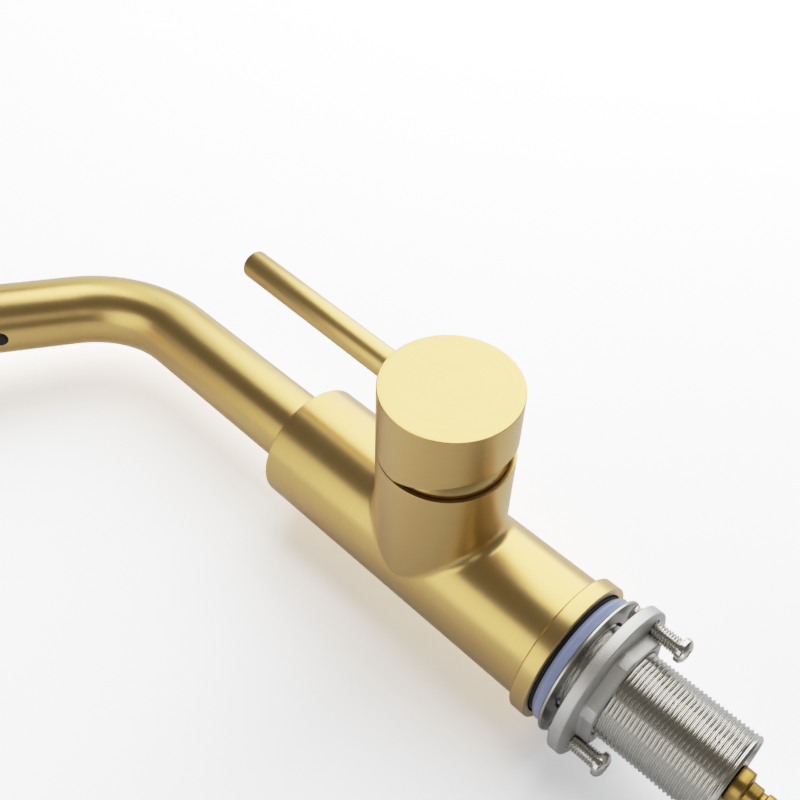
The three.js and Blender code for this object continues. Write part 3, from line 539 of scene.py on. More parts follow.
def faucet_body():
    """Outside: the body's wall below, above and behind the port, the ball blend, the port's wall. Inside: the
    turned bores. With t round the port, the ball's centre is y = (r + f) cos t, z = (r + f) sin t and
    x = sqrt((R + f)^2 - y^2)."""
    half = np.linspace(0, np.pi, 73)
    around = np.concatenate([half, TURN - half[-2::-1]])
    wide, reach_out = PORT_R + BLEND_R, BODY_R + BLEND_R
    y, z = wide * np.cos(around), wide * np.sin(around)
    x = np.sqrt(reach_out ** 2 - y ** 2)
    front = np.arctan2(y, x)[:73]
    behind = np.linspace(front[0], TURN + front[-1], 90)
    low, high = BODY_FOOT + 0 * front, BODY_TOP - 0.55 * MM + 0 * front
    rise = z[:73]
    below, over = body_wall(front, low, PORT_Z - rise), body_wall(front, PORT_Z + rise, high)
    flat = 0 * behind
    rear_low = body_wall(behind, BODY_FOOT + flat, PORT_Z + flat)
    rear_high = body_wall(behind, PORT_Z + flat, BODY_TOP - 0.55 * MM + flat)

    to_body = np.stack([-x, -y, 0 * x], axis=-1) / reach_out
    to_port = np.stack([0 * x, -np.cos(around), -np.sin(around)], axis=-1)
    angle = np.arccos(np.clip(np.sum(to_body * to_port, axis=-1), -1, 1))[None, :, None]
    share = np.linspace(0, 1, 13)[:, None, None]
    way = (np.sin((1 - share) * angle) * to_body + np.sin(share * angle) * to_port) / np.sin(angle)
    ball = np.stack([x, y, z + PORT_Z], axis=-1) + BLEND_R * way
    rim = PORT_RIM - 0.45 * MM
    out = np.linspace(0, 1, 10)[:, None]
    port = np.stack(np.broadcast_arrays(
        x + (rim - x) * out, PORT_R * np.cos(around), PORT_Z + PORT_R * np.sin(around)), axis=-1)

    top, foot = BODY_TOP / MM, BODY_FOOT / MM
    bores = rounded([
        (BODY_R / MM, top - 0.55, 0), (BODY_R / MM, top, 0.5), (14.45, top, 0.25), (14.45, 125.3, 0),
        (16.7, 125.3, 0), (16.7, 118.5, 0), (14.6, 118.5, 0), (14.6, 80, 0), (6.9, 80, 0), (6.9, 18.3, 0),
        (16.2, 18.3, 0), (16.2, foot, 0), (BODY_R / MM, foot, 0),
    ]) * MM
    spins = np.concatenate([front[::-1], behind[1:]])
    mouth = rounded([
        (PORT_R / MM, rim / MM, 0), (PORT_R / MM, PORT_RIM / MM, 0.4), (21.4, PORT_RIM / MM, 0.2),
        (20.7, PORT_RIM / MM - 0.9, 0.1), (20.7, 46, 0), (19, 46, 0), (19, 43, 0), (17.8, 43, 0),
        (17.8, 14.2, 0), (0, 14.2, 0),
    ]) * MM
    r, h = mouth[:, :1], mouth[:, 1:]
    inside = np.stack(np.broadcast_arrays(h, r * np.cos(around), PORT_Z + r * np.sin(around)), axis=-1)
    skins = [below, over, rear_low, rear_high, turned(bores, spins)]
    return build("body_shell", skins + [(p, port_brush(p)) for p in (ball, port, inside)])


def rod_cutter(radius, start, end):
    """A closed round rod between two points, to cut a hole with."""
    axis = Vector(end) - Vector(start)
    long = axis.length
    outline = np.array([(0, 0), (radius, 0), (radius, long), (0, long)])
    turn = axis.to_track_quat("Z", "Y").to_matrix().to_4x4()
    return place(build("cutter", [turned(outline, ring_angles(48))]), Matrix.Translation(start) @ turn)


def middle_of(node):
    """The middle of a solid's box."""
    low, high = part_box(node)
    return [(low[k] + high[k]) / 2 for k in range(3)]


stop_middle = middle_of("spout_stop_screw")
body_shell = take_away(faucet_body(), rod_cutter(
    2.3 * MM, (stop_middle[0], 15 * MM, stop_middle[2]), (stop_middle[0], 25 * MM, stop_middle[2])))
fit(body_shell, "body", GOLD, "faucet_body")

# %% [markdown]
# ## Base ring, seal and gasket
# A turned ring spreads the load on the deck. A black seal sits in its hollow underside, and below it a
# bluish vinyl gasket grips the deck: its edge has two slanted faces, so it catches the light twice.

# %% Base ring, seal and gasket
ring_corners = [(17.0, 6, 0), (25.2, 6, 0.3), (25.7, 5.5, 0.3), (25.7, 0, 0.3), (23.2, 0, 0.2),
                (23.2, 4.4, 0), (17.0, 4.4, 0)]
fit(lathe("foot_ring", ring_corners, 200), "body", GOLD, "base_ring")
seal_corners = [(17.0, 4.1, 0), (22.6, 4.1, 0.2), (22.6, -0.8, 0.3), (17.0, -0.8, 0.3)]
fit(lathe("foot_seal", seal_corners), "body", RUBBER, "base_seal")
gasket_corners = [(17.0, -1.1, 0.2), (22.7, -1.1, 0.3), (23.9, -2.9, 0.2), (23.2, -5.1, 0.3),
                  (17.0, -5.1, 0.2)]
fit(lathe("vinyl_gasket", gasket_corners, 200), "body", VINYL, "deck_gasket")

# %% [markdown]
# ## Threads
# A thread is a helix: going once round moves it by one pitch. So the radius follows a triangle wave of
# (height / pitch - angle / full turn), with its crests a little flattened, and it fades out at both ends
# where the die ran on and off.

# %% Threaded parts
def threaded_wall(radius, depth, pitch, low, high, count, per_pitch=10, fade=1.0):
    """Rows from low to high: radius - depth * wave(z / pitch - a / turn), fading over `fade` pitches at
    the ends."""
    rows = int((high - low) / pitch * per_pitch) + 1
    z, a = np.linspace(low, high, rows)[:, None], ring_angles(count)[None, :]
    phase = (z / pitch - a / TURN) % 1
    wave = np.clip(np.abs(2 * phase - 1) * 1.3 - 0.15, 0, 1)
    ease = np.clip(np.minimum(z - low, high - z) / (fade * pitch), 0, 1)
    r = radius - depth * wave * ease
    points = np.stack(np.broadcast_arrays(r * np.cos(a), r * np.sin(a), z), axis=-1)
    return points, brushed(np.broadcast_to(a, r.shape), z)


def threaded_shank():
    """The thread outside; a chamfered foot, a plain bore and a plain top that goes up into the body."""
    radius, low, high = SHANK_R / MM, SHANK_LOW / MM, SHANK_HIGH / MM
    end = rounded([(radius, low + 0.8, 0), (radius - 0.7, low, 0.15), (14.4, low, 0.3), (14.4, high, 0.2),
                   (radius, high, 0.2), (radius, 4.0, 0)]) * MM
    wall = threaded_wall(SHANK_R, 0.75 * MM, 1.5 * MM, (low + 0.8) * MM, 4.0 * MM, 120)
    return build("shank_thread", [wall, turned(end, ring_angles(120))], sharp=math.radians(50))


fit(threaded_shank(), "body", NICKEL, "threaded_shank")


def plus_prism(length, width, low, high):
    """A cross-shaped punch, a little narrower at its point, to press a screw's recess."""
    a, b = length / 2, width / 2
    outline = np.array([(a, -b), (a, b), (b, b), (b, a), (-b, a), (-b, b), (-a, b), (-a, -b), (-b, -b),
                        (-b, -a), (b, -a), (b, -b), (a, -b)])
    rows = [outline * 0, outline, outline * 0.72, outline * 0]
    heights = [low, low, high, high]
    points = np.stack([np.column_stack([row, np.full(len(row), h)]) for row, h in zip(rows, heights)])
    return build("punch", [(points, points)])


def jack_screw(name, node, body):
    """M6 pan-head screw, head down: the head's profile is an arc, and a cross recess is pressed into it."""
    low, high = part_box(node)
    here = ((low[0] + high[0]) / 2, (low[1] + high[1]) / 2, low[2])
    head = rounded([(0, 0, 0), (2.8, 0.05, 1.2), (4.3, 1.2, 1.0), (4.3, 3.0, 0.3), (3.0, 3.0, 0.1),
                    (3.0, 3.4, 0)]) * MM
    long = (high[2] - low[2]) / MM
    tip = rounded([(3.0, long - 0.4, 0), (2.5, long, 0.1), (0, long, 0)]) * MM
    wall = threaded_wall(3.0 * MM, 0.65 * MM, 1.0 * MM, 3.4 * MM, (long - 0.4) * MM, 40)
    around = ring_angles(40)
    screw = build(name, [turned(head, around), wall, turned(tip, around)], sharp=math.radians(50))
    take_away(screw, plus_prism(4.2 * MM, 1.1 * MM, -0.5 * MM, 1.6 * MM))
    return fit(place(screw, Matrix.Translation(here)), body, NICKEL, node, slot="jack_screw")


for spot in (1, 2):
    jack_screw(f"jack_{spot}_thread", f"jack_screw_{spot}", f"jack_{spot}")

# %% [markdown]
# ## Washer and nut
# The washer is a thin pressed ring with a turned-down lip. The nut is one zinc casting: a round flange that
# carries the jack screws and, under it, a hub with six flats for a spanner. Its hub is a grid like any
# turned part, but the radius at each angle is the smaller of the hub's and the flat's distance / cos(angle
# from the flat's middle).

# %% Washer and nut
washer_corners = [(17, -5.4, 0.1), (24.9, -5.4, 0.2), (25.4, -5.9, 0.2), (25.4, -6.7, 0.15),
                  (24.6, -6.7, 0.15), (24.2, -6.1, 0.1), (17, -6.1, 0.1)]
fit(lathe("pressed_washer", washer_corners, 200), "clamp", STAINLESS, "clamp_washer")


def flanged_nut():
    """Flange and hub as one closed grid, with a column at every corner of the flats."""
    flat_at = np.radians(23) + np.arange(6) * np.pi / 3
    corner = math.acos(17.8 / 19.4)
    marks = np.concatenate([flat_at - corner, flat_at + corner, ring_angles(150)[:-1]]) % TURN
    a = np.unique(np.round(np.concatenate([[0], marks, [TURN]]), 6))
    off = (a[:, None] - flat_at + np.pi / 6) % (np.pi / 3) - np.pi / 6
    hub = np.minimum(19.4, 17.8 / np.cos(off[:, 0]))
    rows = []
    outer = rounded([(16.2, -11.2, 0.3), (27.8, -11.2, 0.5), (27.8, -15.4, 0.5), (22.5, -15.4, 0)])
    for r, z in outer:
        rows.append((np.full_like(a, r), z))
    hub_side = ((-1.4, -15.4), (-0.4, -15.6), (-0.1, -16.1), (0, -16.8), (0, -19.4), (0.15, -19.9),
                (0.5, -20.2))
    for inset, z in hub_side:
        rows.append((hub - inset, z))
    for r, z in ((17.0, -20.2), (16.2, -19.6), (16.2, -11.6), (16.2, outer[0][1])):
        rows.append((np.full_like(a, r), z))
    rows[-1] = (np.full_like(a, outer[0][0]), outer[0][1])
    r, z = np.stack([row[0] for row in rows]) * MM, np.array([[row[1]] for row in rows]) * MM
    points = np.stack(np.broadcast_arrays(r * np.cos(a), r * np.sin(a), z), axis=-1)
    brush = brushed(np.broadcast_to(a, r.shape), z + 0 * r)
    return build("flanged_nut", [(points, brush)], sharp=math.radians(35))


nut = flanged_nut()
for node in ("jack_screw_1", "jack_screw_2"):
    middle = middle_of(node)
    take_away(nut, rod_cutter(3.25 * MM, (middle[0], middle[1], -21 * MM), (middle[0], middle[1], -10 * MM)))
fit(nut, "clamp", ZINC, "mounting_nut")

# %% [markdown]
# ## The handle's cap
# The lever's cap is a turned cup. Its skirt is level on the lever's side and cut on a slant on the other, so
# that the cap can tip when the lever is lifted: the slant is the room that the tipping needs.

# %% Handle cap
CAP_SLOPE = math.tan(math.radians(19))
CAP_KINK = 1.8 * MM
LEVER_LEAN = math.radians(1.5)


def handle_cap():
    """Angle a is measured from the lever, about the port's axis. The skirt's edge stands at the cap's edge
    where r cos a is above the kink, and rises by the slope times the distance below it elsewhere."""
    kink = math.acos(CAP_KINK / CAP_R)
    a = np.concatenate([np.linspace(-kink, kink, 81), np.linspace(kink, TURN - kink, 121)[1:]])
    edge = CAP_EDGE + np.maximum(0, CAP_KINK - CAP_R * np.cos(a)) * CAP_SLOPE
    lip, inner, brow = 0.25 * MM, 21.3 * MM, CAP_TOP - 0.5 * MM
    rows = [(r + 0 * a, edge + lift) for r, lift in (
        (inner, lip), (inner + 0.07 * MM, 0.07 * MM), (inner + lip, 0), (CAP_R - lip, 0),
        (CAP_R - 0.07 * MM, 0.07 * MM), (CAP_R, lip), (CAP_R, lip + SUPPORT))]
    start = edge + lip + SUPPORT
    rows += [(CAP_R + 0 * a, start + (brow - start) * share) for share in np.linspace(0, 1, 12)[1:]]
    crown = rounded([(CAP_R / MM, brow / MM, 0), (CAP_R / MM, CAP_TOP / MM, 0.35), (0, CAP_TOP / MM, 0)]) * MM
    rows += [(r + 0 * a, x + 0 * a) for r, x in crown[1:-1]]
    rows += [(r * MM + 0 * a, CAP_TOP + 0 * a) for r in (20, 16, 12, 8, 4, 1.5, 0)]
    hollow = rounded([(0, 64.2, 0), (16, 64.2, 0.3), (16, 75.6, 0.3), (21.3, 75.6, 0.6), (21.3, 70, 0)]) * MM
    inside = [(r + 0 * a, x + 0 * a) for r, x in hollow] + [(inner + 0 * a, edge + lip)]

    def lay(lines):
        r, x = (np.stack([line[k] for line in lines]) for k in (0, 1))
        points = np.stack([x, r * np.sin(a), PORT_Z + r * np.cos(a)], axis=-1)
        return points, brushed(a + 0 * r, x - r + 0.4)

    return build("cap_shell", [lay(rows), lay(inside)])


cap_shell = handle_cap()
AT_LEVER = Matrix.Translation((LEVER_X, 0, PORT_Z)) @ Matrix.Rotation(-LEVER_LEAN, 4, "X")
for radius, inner, outer in ((5.25, (0, 0, 17), (0, 0, 26)), (2.0, (0, 18, 0), (0, 26, 0))):
    take_away(cap_shell, rod_cutter(
        radius * MM, AT_LEVER @ (Vector(inner) * MM), AT_LEVER @ (Vector(outer) * MM)))
fit(cap_shell, "handle", GOLD, "handle_cap")

# %% [markdown]
# ## The lever, its plug and the dome
# The lever is a plain 10 mm rod with its end edge just broken; it leans a degree and a half round the port's
# axis, as its screw happened to stop. The dome closes the port under the cap: it is
# a zone of a ball about the tipping pivot, so the cap swings over it without touching.

# %% Lever, plug and dome
tip = (LEVER_TIP - PORT_Z) / MM
lever_corners = [(0, 8, 0), (2.9, 8, 0.2), (2.9, 16.5, 0.1), (LEVER_R / MM, 16.5, 0.2),
                 (LEVER_R / MM, tip, 0.8), (0, tip, 0)]
fit(lathe("lever", lever_corners, 96, closed=False, places=AT_LEVER), "handle", GOLD_LONG, "lever_rod")

DOME_R, pivot = 21.6, PIVOT_X / MM
zone = [(math.sqrt(DOME_R ** 2 - (h - pivot) ** 2), h, 0) for h in np.linspace(51.4, 57.6, 14)]
dome_corners = [(19, 46.3, 0), (20.3, 46.3, 0.2), *zone, (16.2, 58, 0.2), (14.4, 58, 0.2), (18.2, 51, 0),
                (19, 50.6, 0)]
fit(lathe("dome", dome_corners, 144, places=ONTO_X), "body", GOLD, "dome_ring")

plug_corners = [(0, 20.4, 0), (1.8, 20.4, 0), (1.8, 22.2, 0.3), (0, 22.3, 0)]
sideways = AT_LEVER @ Matrix.Rotation(-math.pi / 2, 4, "X")
fit(lathe("plug", plug_corners, 40, closed=False, places=sideways), "handle", GOLD, "handle_plug")

# %% [markdown]
# ## The spout and the wand
# Both are brass tube, drawn to size and bent cold round a former. A tube here is a circle carried along a
# line that is straight, then an arc, then straight, and kept square to it. The wall's rims are rounded over
# and the bore is carried back inside, so the tube is one closed skin.

# %% Tubes along a bent line
def bent_line(start, lead, radius, angle, tail, forward, side, step=1.6 * MM):
    """Distances, centres, tangents and normals: straight along `forward`, an arc towards `side`, straight."""
    forward, side, arc = np.array(forward), np.array(side), radius * angle
    s = np.concatenate([
        np.linspace(0, lead, max(3, int(lead / (3 * step))))[:-1],
        lead + np.linspace(0, arc, int(arc / step) + 2)[:-1],
        lead + arc + np.linspace(0, tail, max(3, int(tail / (3 * step)))),
    ])
    turn = (np.clip(s - lead, 0, arc) / radius)[:, None]
    ahead, rest = np.minimum(s, lead)[:, None], np.maximum(0, s - lead - arc)[:, None]
    run = ahead + radius * np.sin(turn) + rest * np.cos(turn)
    drop = radius * (1 - np.cos(turn)) + rest * np.sin(turn)
    centres = np.array(start) + forward * run + side * drop
    tangents = forward * np.cos(turn) + side * np.sin(turn)
    normals = forward * np.sin(turn) - side * np.cos(turn)
    return s, centres, tangents, normals


def pipe(name, line, radius, inner, edges, count=144):
    """The wall's section, (radius, distance past an end) all the way round, carried along the line, with its
    rims rounded by `edges` mm at the start and end. The binormal never turns: the line stays in one plane."""
    s, centres, tangents, normals = line
    binormal = np.cross(tangents[0], normals[0])
    first, last = (rounded([(radius / MM, -2 * edge, 0), (radius / MM, 0, edge), (inner / MM, 0, edge * 0.6),
                            (inner / MM, -2 * edge, 0)])[1:-1] * MM for edge in edges)
    near, far = (3 * edge * MM + SUPPORT for edge in edges)
    rows = [(centres[0], tangents[0], normals[0], radius, near, s[0] + near)]
    rows += [(centres[k], tangents[k], normals[k], radius, 0, s[k]) for k in range(1, len(s) - 1)]
    rows.append((centres[-1], tangents[-1], normals[-1], radius, -far, s[-1] - far))
    rows += [(centres[-1], tangents[-1], normals[-1], r, push, s[-1] + push) for r, push in last]
    rows += [(centres[k], tangents[k], normals[k], inner, 0, s[k]) for k in range(len(s) - 2, 0, -1)]
    rows += [(centres[0], tangents[0], normals[0], r, -push, s[0] - push) for r, push in first[::-1]]
    rows.append(rows[0])
    middle, tangent, normal = (np.array([row[k] for row in rows])[:, None, :] for k in range(3))
    r, push, travel = (np.array([row[k] for row in rows])[:, None] for k in (3, 4, 5))
    a = ring_angles(count)[None, :]
    circle = np.cos(a)[..., None] * normal + np.sin(a)[..., None] * binormal
    points = middle + tangent * push[..., None] + r[..., None] * circle
    return build(name, [(points, brushed(a + 0 * r, travel + 0 * a))])


FORWARD = Vector((ARM.x, ARM.y, 0)).normalized()
SPOUT_FOOT = reach("spout_tube", 2, 0)
riser = bent_line((0, 0, SPOUT_FOOT), CORNER.z - BEND_TANGENT - SPOUT_FOOT, BEND_R, BEND_ANGLE,
                  ARM_END - BEND_TANGENT, (0, 0, 1), FORWARD)
fit(pipe("spout_pipe", riser, TUBE_R, TUBE_R - TUBE_WALL, (0.3, 0.02)), "spout", GOLD, "spout_tube")

SEAM = 0.02 * MM        # the wand is ground flush with the spout, so that only a hairline shows
WAND_TURN = math.pi - BEND_ANGLE
wand_line = bent_line(CORNER + ARM * (ARM_END + SEAM), NOSE_S - ARM_END - SEAM, NOSE_R, WAND_TURN,
                      NOSE_TAIL, ARM, UNDER)
wand = pipe("wand_pipe", wand_line, TUBE_R, TUBE_R - TUBE_WALL, (0.02, 0.35))

# %% [markdown]
# ## The button
# A long rubber rocker in a round-ended window changes the spray. Both are the same outline, a segment
# swollen by a radius: each point is an end of the segment, or a point along it, plus radius times direction.

# %% Button and its window
def swollen(name, long, profile, ends=24, sides=8):
    """Rows of (radius, height) round a segment of the given length along Y: an obround block."""
    half = np.linspace(0, np.pi, ends + 1)
    angle = np.concatenate([half, np.full(sides - 1, np.pi), half + np.pi, np.full(sides, TURN)])
    run = np.linspace(long / 2, -long / 2, sides + 1)
    near, far = np.full(ends + 1, long / 2), np.full(ends + 1, -long / 2)
    core = np.concatenate([near, run[1:-1], far, run[::-1][1:]])
    r, h = profile[:, :1], profile[:, 1:]
    points = np.stack(np.broadcast_arrays(r * np.cos(angle), core + r * np.sin(angle), h), axis=-1)
    return build(name, [(points, points)])


BUTTON_MIDDLE, BUTTON_CORE = 72.7 * MM, 30.4 * MM
ON_BUTTON = Matrix.Translation(CORNER + ARM * BUTTON_MIDDLE) @ Matrix(
    (ARM.cross(UNDER), ARM, UNDER)).transposed().to_4x4()
window_profile = np.array([(0, 9), (3.1, 9), (3.1, 18), (0, 18)]) * MM
take_away(wand, place(swollen("window", BUTTON_CORE, window_profile), ON_BUTTON))
fit(wand, "wand", GOLD, "wand_shell")

button_profile = rounded([(0, 11.4, 0), (2.8, 11.4, 0.2), (2.8, 14.35, 0.9), (0, 14.5, 0)]) * MM
button = place(swollen("button_rubber", BUTTON_CORE, button_profile), ON_BUTTON)
stem_corners = [(0, 6.4, 0), (1.5, 6.4, 0.2), (1.5, 12, 0), (0, 12, 0)]
stem = lathe("stem", stem_corners, 32, closed=False, places=ON_BUTTON)
with bpy.context.temp_override(active_object=button, selected_editable_objects=[button, stem]):
    bpy.ops.object.join()
fit(button, "button", RUBBER, "mode_button")

# %% [markdown]
# ## Inside the wand's end, and the hose
# The wand plugs into a black dock in the spout's end, and its own black core carries the hose nut. The hose
# is one smooth tube up the body and round the bend; past the bend a separate straight length goes on along
# the arm.

# %% Dock, core and hose
ALONG_ARM = Matrix.Translation(CORNER) @ Matrix((ACROSS, UNDER, ARM)).transposed().to_4x4()
dock_corners = [(10.2, 28.6, 0.2), (12.6, 28.6, 0.2), (12.6, 33.9, 0.3), (10.8, 33.9, 0.3), (10.2, 33.2, 0.1)]
fit(lathe("dock", dock_corners, 96, places=ALONG_ARM), "spout", BLACK, "wand_dock")
core_corners = [(7.9, 29.4, 0.2), (9.9, 29.4, 0.4), (9.9, 34.4, 0), (12.5, 36, 0.3), (12.5, 44, 0.3),
                (8.2, 48, 0.2), (8.2, 158.6, 0), (5.6, 158.6, 0), (5.6, 64.3, 0), (6.6, 64.3, 0),
                (6.6, 47.3, 0), (7.9, 47.3, 0)]
core = lathe("core", core_corners, 96, places=ALONG_ARM)
take_away(core, rod_cutter(1.8 * MM, ON_BUTTON @ Vector((0, 0, 4 * MM)), ON_BUTTON @ Vector((0, 0, 10 * MM))))
fit(core, "wand", BLACK, "wand_core")

HOSE_R, HOSE_LOW, HOSE_HIGH = 5 * MM, reach("spray_hose", 2, 0), 43 * MM
NECK = 27.5 * MM


def hose_run(name, line):
    """A solid round hose along a line, closed by rounded ends."""
    s, centres, tangents, normals = line
    binormal = np.cross(tangents[0], normals[0])
    radii = np.concatenate([[0, HOSE_R * 0.8], np.full(len(s), HOSE_R), [HOSE_R * 0.8, 0]])[:, None]
    pick = np.concatenate([[0, 0], np.arange(len(s)), [len(s) - 1] * 2])
    push = np.zeros(len(pick))
    push[[0, 1]], push[[-2, -1]] = -0.2 * MM, 0.2 * MM
    a = ring_angles(48)[None, :]
    circle = np.cos(a)[..., None] * normals[pick][:, None, :] + np.sin(a)[..., None] * binormal
    middle = centres[pick] + tangents[pick] * push[:, None]
    points = middle[:, None, :] + radii[..., None] * circle
    return build(name, [(points, brushed(a + 0 * radii, s[pick][:, None] + 0 * a))])


lower = bent_line((0, 0, HOSE_LOW), CORNER.z - BEND_TANGENT - HOSE_LOW, BEND_R, BEND_ANGLE,
                  NECK - BEND_TANGENT, (0, 0, 1), FORWARD)
fit(hose_run("hose_lower", lower), "spout", BRAID, "spray_hose")
span = np.linspace(0, HOSE_HIGH - NECK, 60)
upper_line = (span, np.array(CORNER + ARM * NECK) + span[:, None] * np.array(ARM), np.tile(ARM, (60, 1)),
              np.tile(-UNDER, (60, 1)))
hose_upper = hose_run("hose_upper", upper_line)
hose_upper.data.materials.append(BRAID)
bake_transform(hose_upper)

connector_corners = [(0, -74, 0), (4, -74, 0.4), (4, -70, 0.2), (3.2, -69.6, 0.1), (3.2, -68.4, 0.1),
                     (4, -68, 0.2), (4, -64.6, 0.1), (6.2, -64, 0.4), (6.2, -60, 0.4), (5.4, -59.6, 0.1),
                     (5.4, -52.3, 0.3), (0, -52.3, 0)]
fit(lathe("connector", connector_corners, 72, closed=False), "spout", TURNED_BRASS, "hose_connector")

glide_corners = [(14.4, 118.8, 0.3), (16.4, 118.8, 0.3), (16.4, 125, 0.3), (14.4, 125, 0.3)]
glide = lathe("glide", glide_corners, 96)
take_away(glide, rod_cutter(0.8 * MM, (0, 15.4 * MM, 117 * MM), (0, 15.4 * MM, 127 * MM)))
fit(glide, "spout", WHITE, "glide_ring")

# %% [markdown]
# ## The spray face
# Looking up into the nose there is a black housing, a grey ring with twelve holes, silicone nozzles that
# poke through them, and an aerator in the middle that mixes air into the stream.

# %% Spray face
rim_centre, water = Vector(wand_line[1][-1]), Vector(wand_line[2][-1])
ON_NOSE = Matrix.Translation(rim_centre) @ Matrix((ACROSS, water.cross(ACROSS), water)).transposed().to_4x4()
NOZZLES = [(9.1 * MM * math.cos(k * TURN / 12), 9.1 * MM * math.sin(k * TURN / 12)) for k in range(12)]

housing_corners = [(6.5, -11.7, 0), (12.6, -11.7, 0.3), (12.6, -0.5, 0.4), (11.5, -0.5, 0.3),
                   (11.5, -5, 0), (6.5, -5, 0)]
fit(lathe("nose_housing", housing_corners, 120, places=ON_NOSE), "wand", BLACK, "face_housing")

nub = rounded([(0, -4, 0), (0.85, -4, 0), (0.6, 0.2, 0.15), (0.25, 0.2, 0.05), (0.2, -0.6, 0),
               (0, -0.6, 0)]) * MM
mat = rounded([(7.2, -4.7, 0), (11.2, -4.7, 0), (11.2, -3.5, 0.1), (7.2, -3.5, 0.1)], closed=True) * MM
shapes = [turned(mat, ring_angles(96))]
for x, y in NOZZLES:
    points, brush = turned(nub, ring_angles(20))
    shapes.append((points + np.array((x, y, 0)), brush))
fit(place(build("nozzles", shapes), ON_NOSE), "wand", SILICONE, "nozzle_mat")

face_corners = [(7, -3.2, 0), (11.2, -3.2, 0), (11.2, -0.6, 0.3), (7, -0.6, 0.3)]
face = lathe("face_ring", face_corners, 120)
for x, y in NOZZLES:
    take_away(face, rod_cutter(1.15 * MM, (x, y, -5 * MM), (x, y, 1 * MM)))
fit(place(face, ON_NOSE), "wand", GREY, "spray_face")

aerator_corners = [(0, -4.7, 0), (6.7, -4.7, 0), (6.7, -0.8, 0.3), (5.6, -0.8, 0.3), (5.6, -1.8, 0.2),
                   (4.4, -2.1, 0.3), (3.4, -1.8, 0.3), (2.4, -2.1, 0.3), (1.4, -1.8, 0.3), (0, -2.1, 0)]
fit(lathe("aerator_insert", aerator_corners, 96, closed=False, places=ON_NOSE), "wand", BLACK, "aerator")

# %% [markdown]
# ## The working parts inside
# These stay as the solids of the frame: they are seen only through gaps or when the faucet is taken apart.
# Each still gets the finish of what it is made of.

# %% Finishes of the inner parts
INNER = {
    STAINLESS: ("spout_stop_screw", "pivot_pin", "grub_screw", "button_spring"),
    BRASS: ("cartridge_nut", "spindle", "spout_adapter", "hose_nut"),
    RUBBER: ("port_seal_hot", "port_seal_cold", "port_seal_mixed", "spout_seal_lower", "spout_seal_upper"),
    GREY: ("cartridge_base", "swivel_guide"),
    WHITE: ("cartridge_housing", "disc_carrier", "check_valve"),
    CERAMIC: ("fixed_disc", "moving_disc"),
    BLACK: ("elbow_tube",),
}
for material, names in INNER.items():
    for name in names:
        solid = frame["nodes"][name].data
        solid.materials.clear()
        solid.materials.append(material)
print("inner parts finished:", sum(len(names) for names in INNER.values()))

# %% [markdown]
# ## The table
# The faucet lies on a smooth white table, which in the frame's axes is the upright plane just beyond the -X
# side. As the table is exposed to come out white, what the lens sees of it is brighter than what the metal
# mirrors. Seen from behind, the table lets the view through, so it never hides the object.

# %% Table
TABLE_X = CAD_LOW.x - 1 * MM


def white_table():
    """Matt white laminate with a faint mottle: one tone for the lens, one for what the metal mirrors."""
    material, tree = start_material("laminate_white_matt")
    where = add(tree, "ShaderNodeTexCoord")
    mottle = add(tree, "ShaderNodeTexNoise", {"Vector": where.outputs["Object"], "Scale": 9.0}).outputs["Fac"]
    seen = add(tree, "ShaderNodeBsdfDiffuse", {"Color": (2.62, 2.65, 2.72, 1)})
    mirrored = add(tree, "ShaderNodeBsdfDiffuse", {"Color": blend_colour(tree, mottle, "#f6f6f8", "#ffffff")})
    rays = add(tree, "ShaderNodeLightPath")
    front = add(tree, "ShaderNodeMixShader", {
        0: rays.outputs["Is Camera Ray"], 1: mirrored.outputs[0], 2: seen.outputs[0],
    })
    side = add(tree, "ShaderNodeNewGeometry")
    clear = add(tree, "ShaderNodeBsdfTransparent")
    end_material(tree, add(tree, "ShaderNodeMixShader", {
        0: side.outputs["Backfacing"], 1: front.outputs[0], 2: clear.outputs[0],
    }))
    return material


WIDE = 4.0
table = bpy.data.meshes.new("table")
table.from_pydata([(TABLE_X, y, z) for y, z in ((-WIDE, -WIDE), (WIDE, -WIDE), (WIDE, WIDE), (-WIDE, WIDE))],
                  [], [(0, 1, 2, 3)])
table_top = bpy.data.objects.new("table", table)
COLLECTION.objects.link(table_top)
table.materials.append(white_table())
print("table at x, mm:", round(TABLE_X / MM, 1))

# %% [markdown]
# ## The lights
# One wide softbox hangs over the table, beyond the faucet: it makes the bright band on the far side of each
# tube and lights the cap's top evenly. A dimmer one stands on the spout's side and makes the second band. A
# small one past the spout's end and a small card beside the lens lift the parts that the big two don't reach.
# The room itself is dark, and that is what draws the brown bands between the bright ones.

# %% Softboxes and room
MIDDLE = Vector((0.02, -0.02, 0.10))


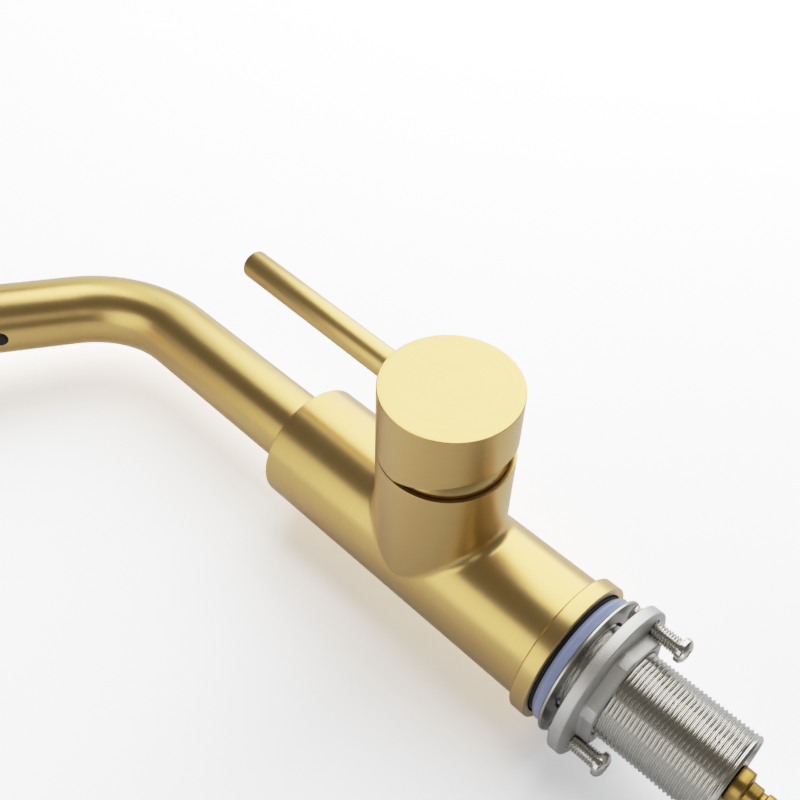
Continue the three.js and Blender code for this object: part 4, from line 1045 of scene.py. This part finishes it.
def softbox(name, direction, distance, wide, tall, radiance):
    """A rectangular light looking at the faucet, with its wide side level; its power is set so that its
    surface has the given radiance."""
    away = Vector(direction).normalized()
    lamp = bpy.data.lights.new(name, "AREA")
    lamp.shape, lamp.size, lamp.size_y = "RECTANGLE", wide, tall
    lamp.energy = radiance * math.pi * wide * tall
    holder = bpy.data.objects.new(name, lamp)
    turn = (-away).to_track_quat("-Z", "Y").to_matrix().to_4x4()
    holder.matrix_world = Matrix.Translation(MIDDLE + away * distance) @ turn
    holder.visible_camera = False
    COLLECTION.objects.link(holder)


softbox("overhead_softbox", (0.68, 0.70, 0.28), 1.0, 1.9, 1.0, 2.2)
softbox("spout_side_softbox", (0.22, -0.96, 0.15), 0.9, 0.85, 0.9, 1.2)
softbox("far_side_softbox", (0.25, 0.45, 0.86), 0.9, 0.5, 0.5, 0.7)
softbox("lens_side_card", (0.56, -0.48, -0.68), 0.9, 0.35, 0.35, 0.6)

room = bpy.data.worlds.new("dim_room")
bpy.context.scene.world = room
room.use_nodes = True
room.node_tree.nodes.clear()
rays = add(room.node_tree, "ShaderNodeLightPath")
dim = add(room.node_tree, "ShaderNodeBackground", {"Color": linear("#f0e2cc"), "Strength": 0.16})
haze = add(room.node_tree, "ShaderNodeBackground", {"Color": linear("#f2f4fa"), "Strength": 0.12})
paper = add(room.node_tree, "ShaderNodeBackground", {"Color": (1, 1, 1, 1), "Strength": 2.6})
lit = add(room.node_tree, "ShaderNodeMixShader", {
    0: rays.outputs["Is Diffuse Ray"], 1: dim.outputs[0], 2: haze.outputs[0],
})
mixed = add(room.node_tree, "ShaderNodeMixShader", {
    0: rays.outputs["Is Camera Ray"], 1: lit.outputs[0], 2: paper.outputs[0],
})
add(room.node_tree, "ShaderNodeOutputWorld", {"Surface": mixed.outputs[0]})

# %% [markdown]
# ## The camera's response
# A camera does not cut bright tones off: it rolls them over gently, so a strong highlight on gold turns
# cream, not lemon yellow. The curve below is straight up to the middle tones and then bends towards white.

# %% Tone curve
view = bpy.context.scene.view_settings
view.view_transform = "Standard"
view.use_curve_mapping = True
curves = view.curve_mapping
BRIGHTEST = 2.6
curves.white_level = (BRIGHTEST,) * 3
curves.clip_max_x = curves.clip_max_y = 1.0
tone = curves.curves[3]
for seen, printed in ((0.25, 0.25), (0.5, 0.49), (0.8, 0.67), (1.1, 0.78), (1.5, 0.87), (2.0, 0.95)):
    tone.points.new(seen / BRIGHTEST, printed)
curves.update()
print("tone curve points:", len(tone.points))
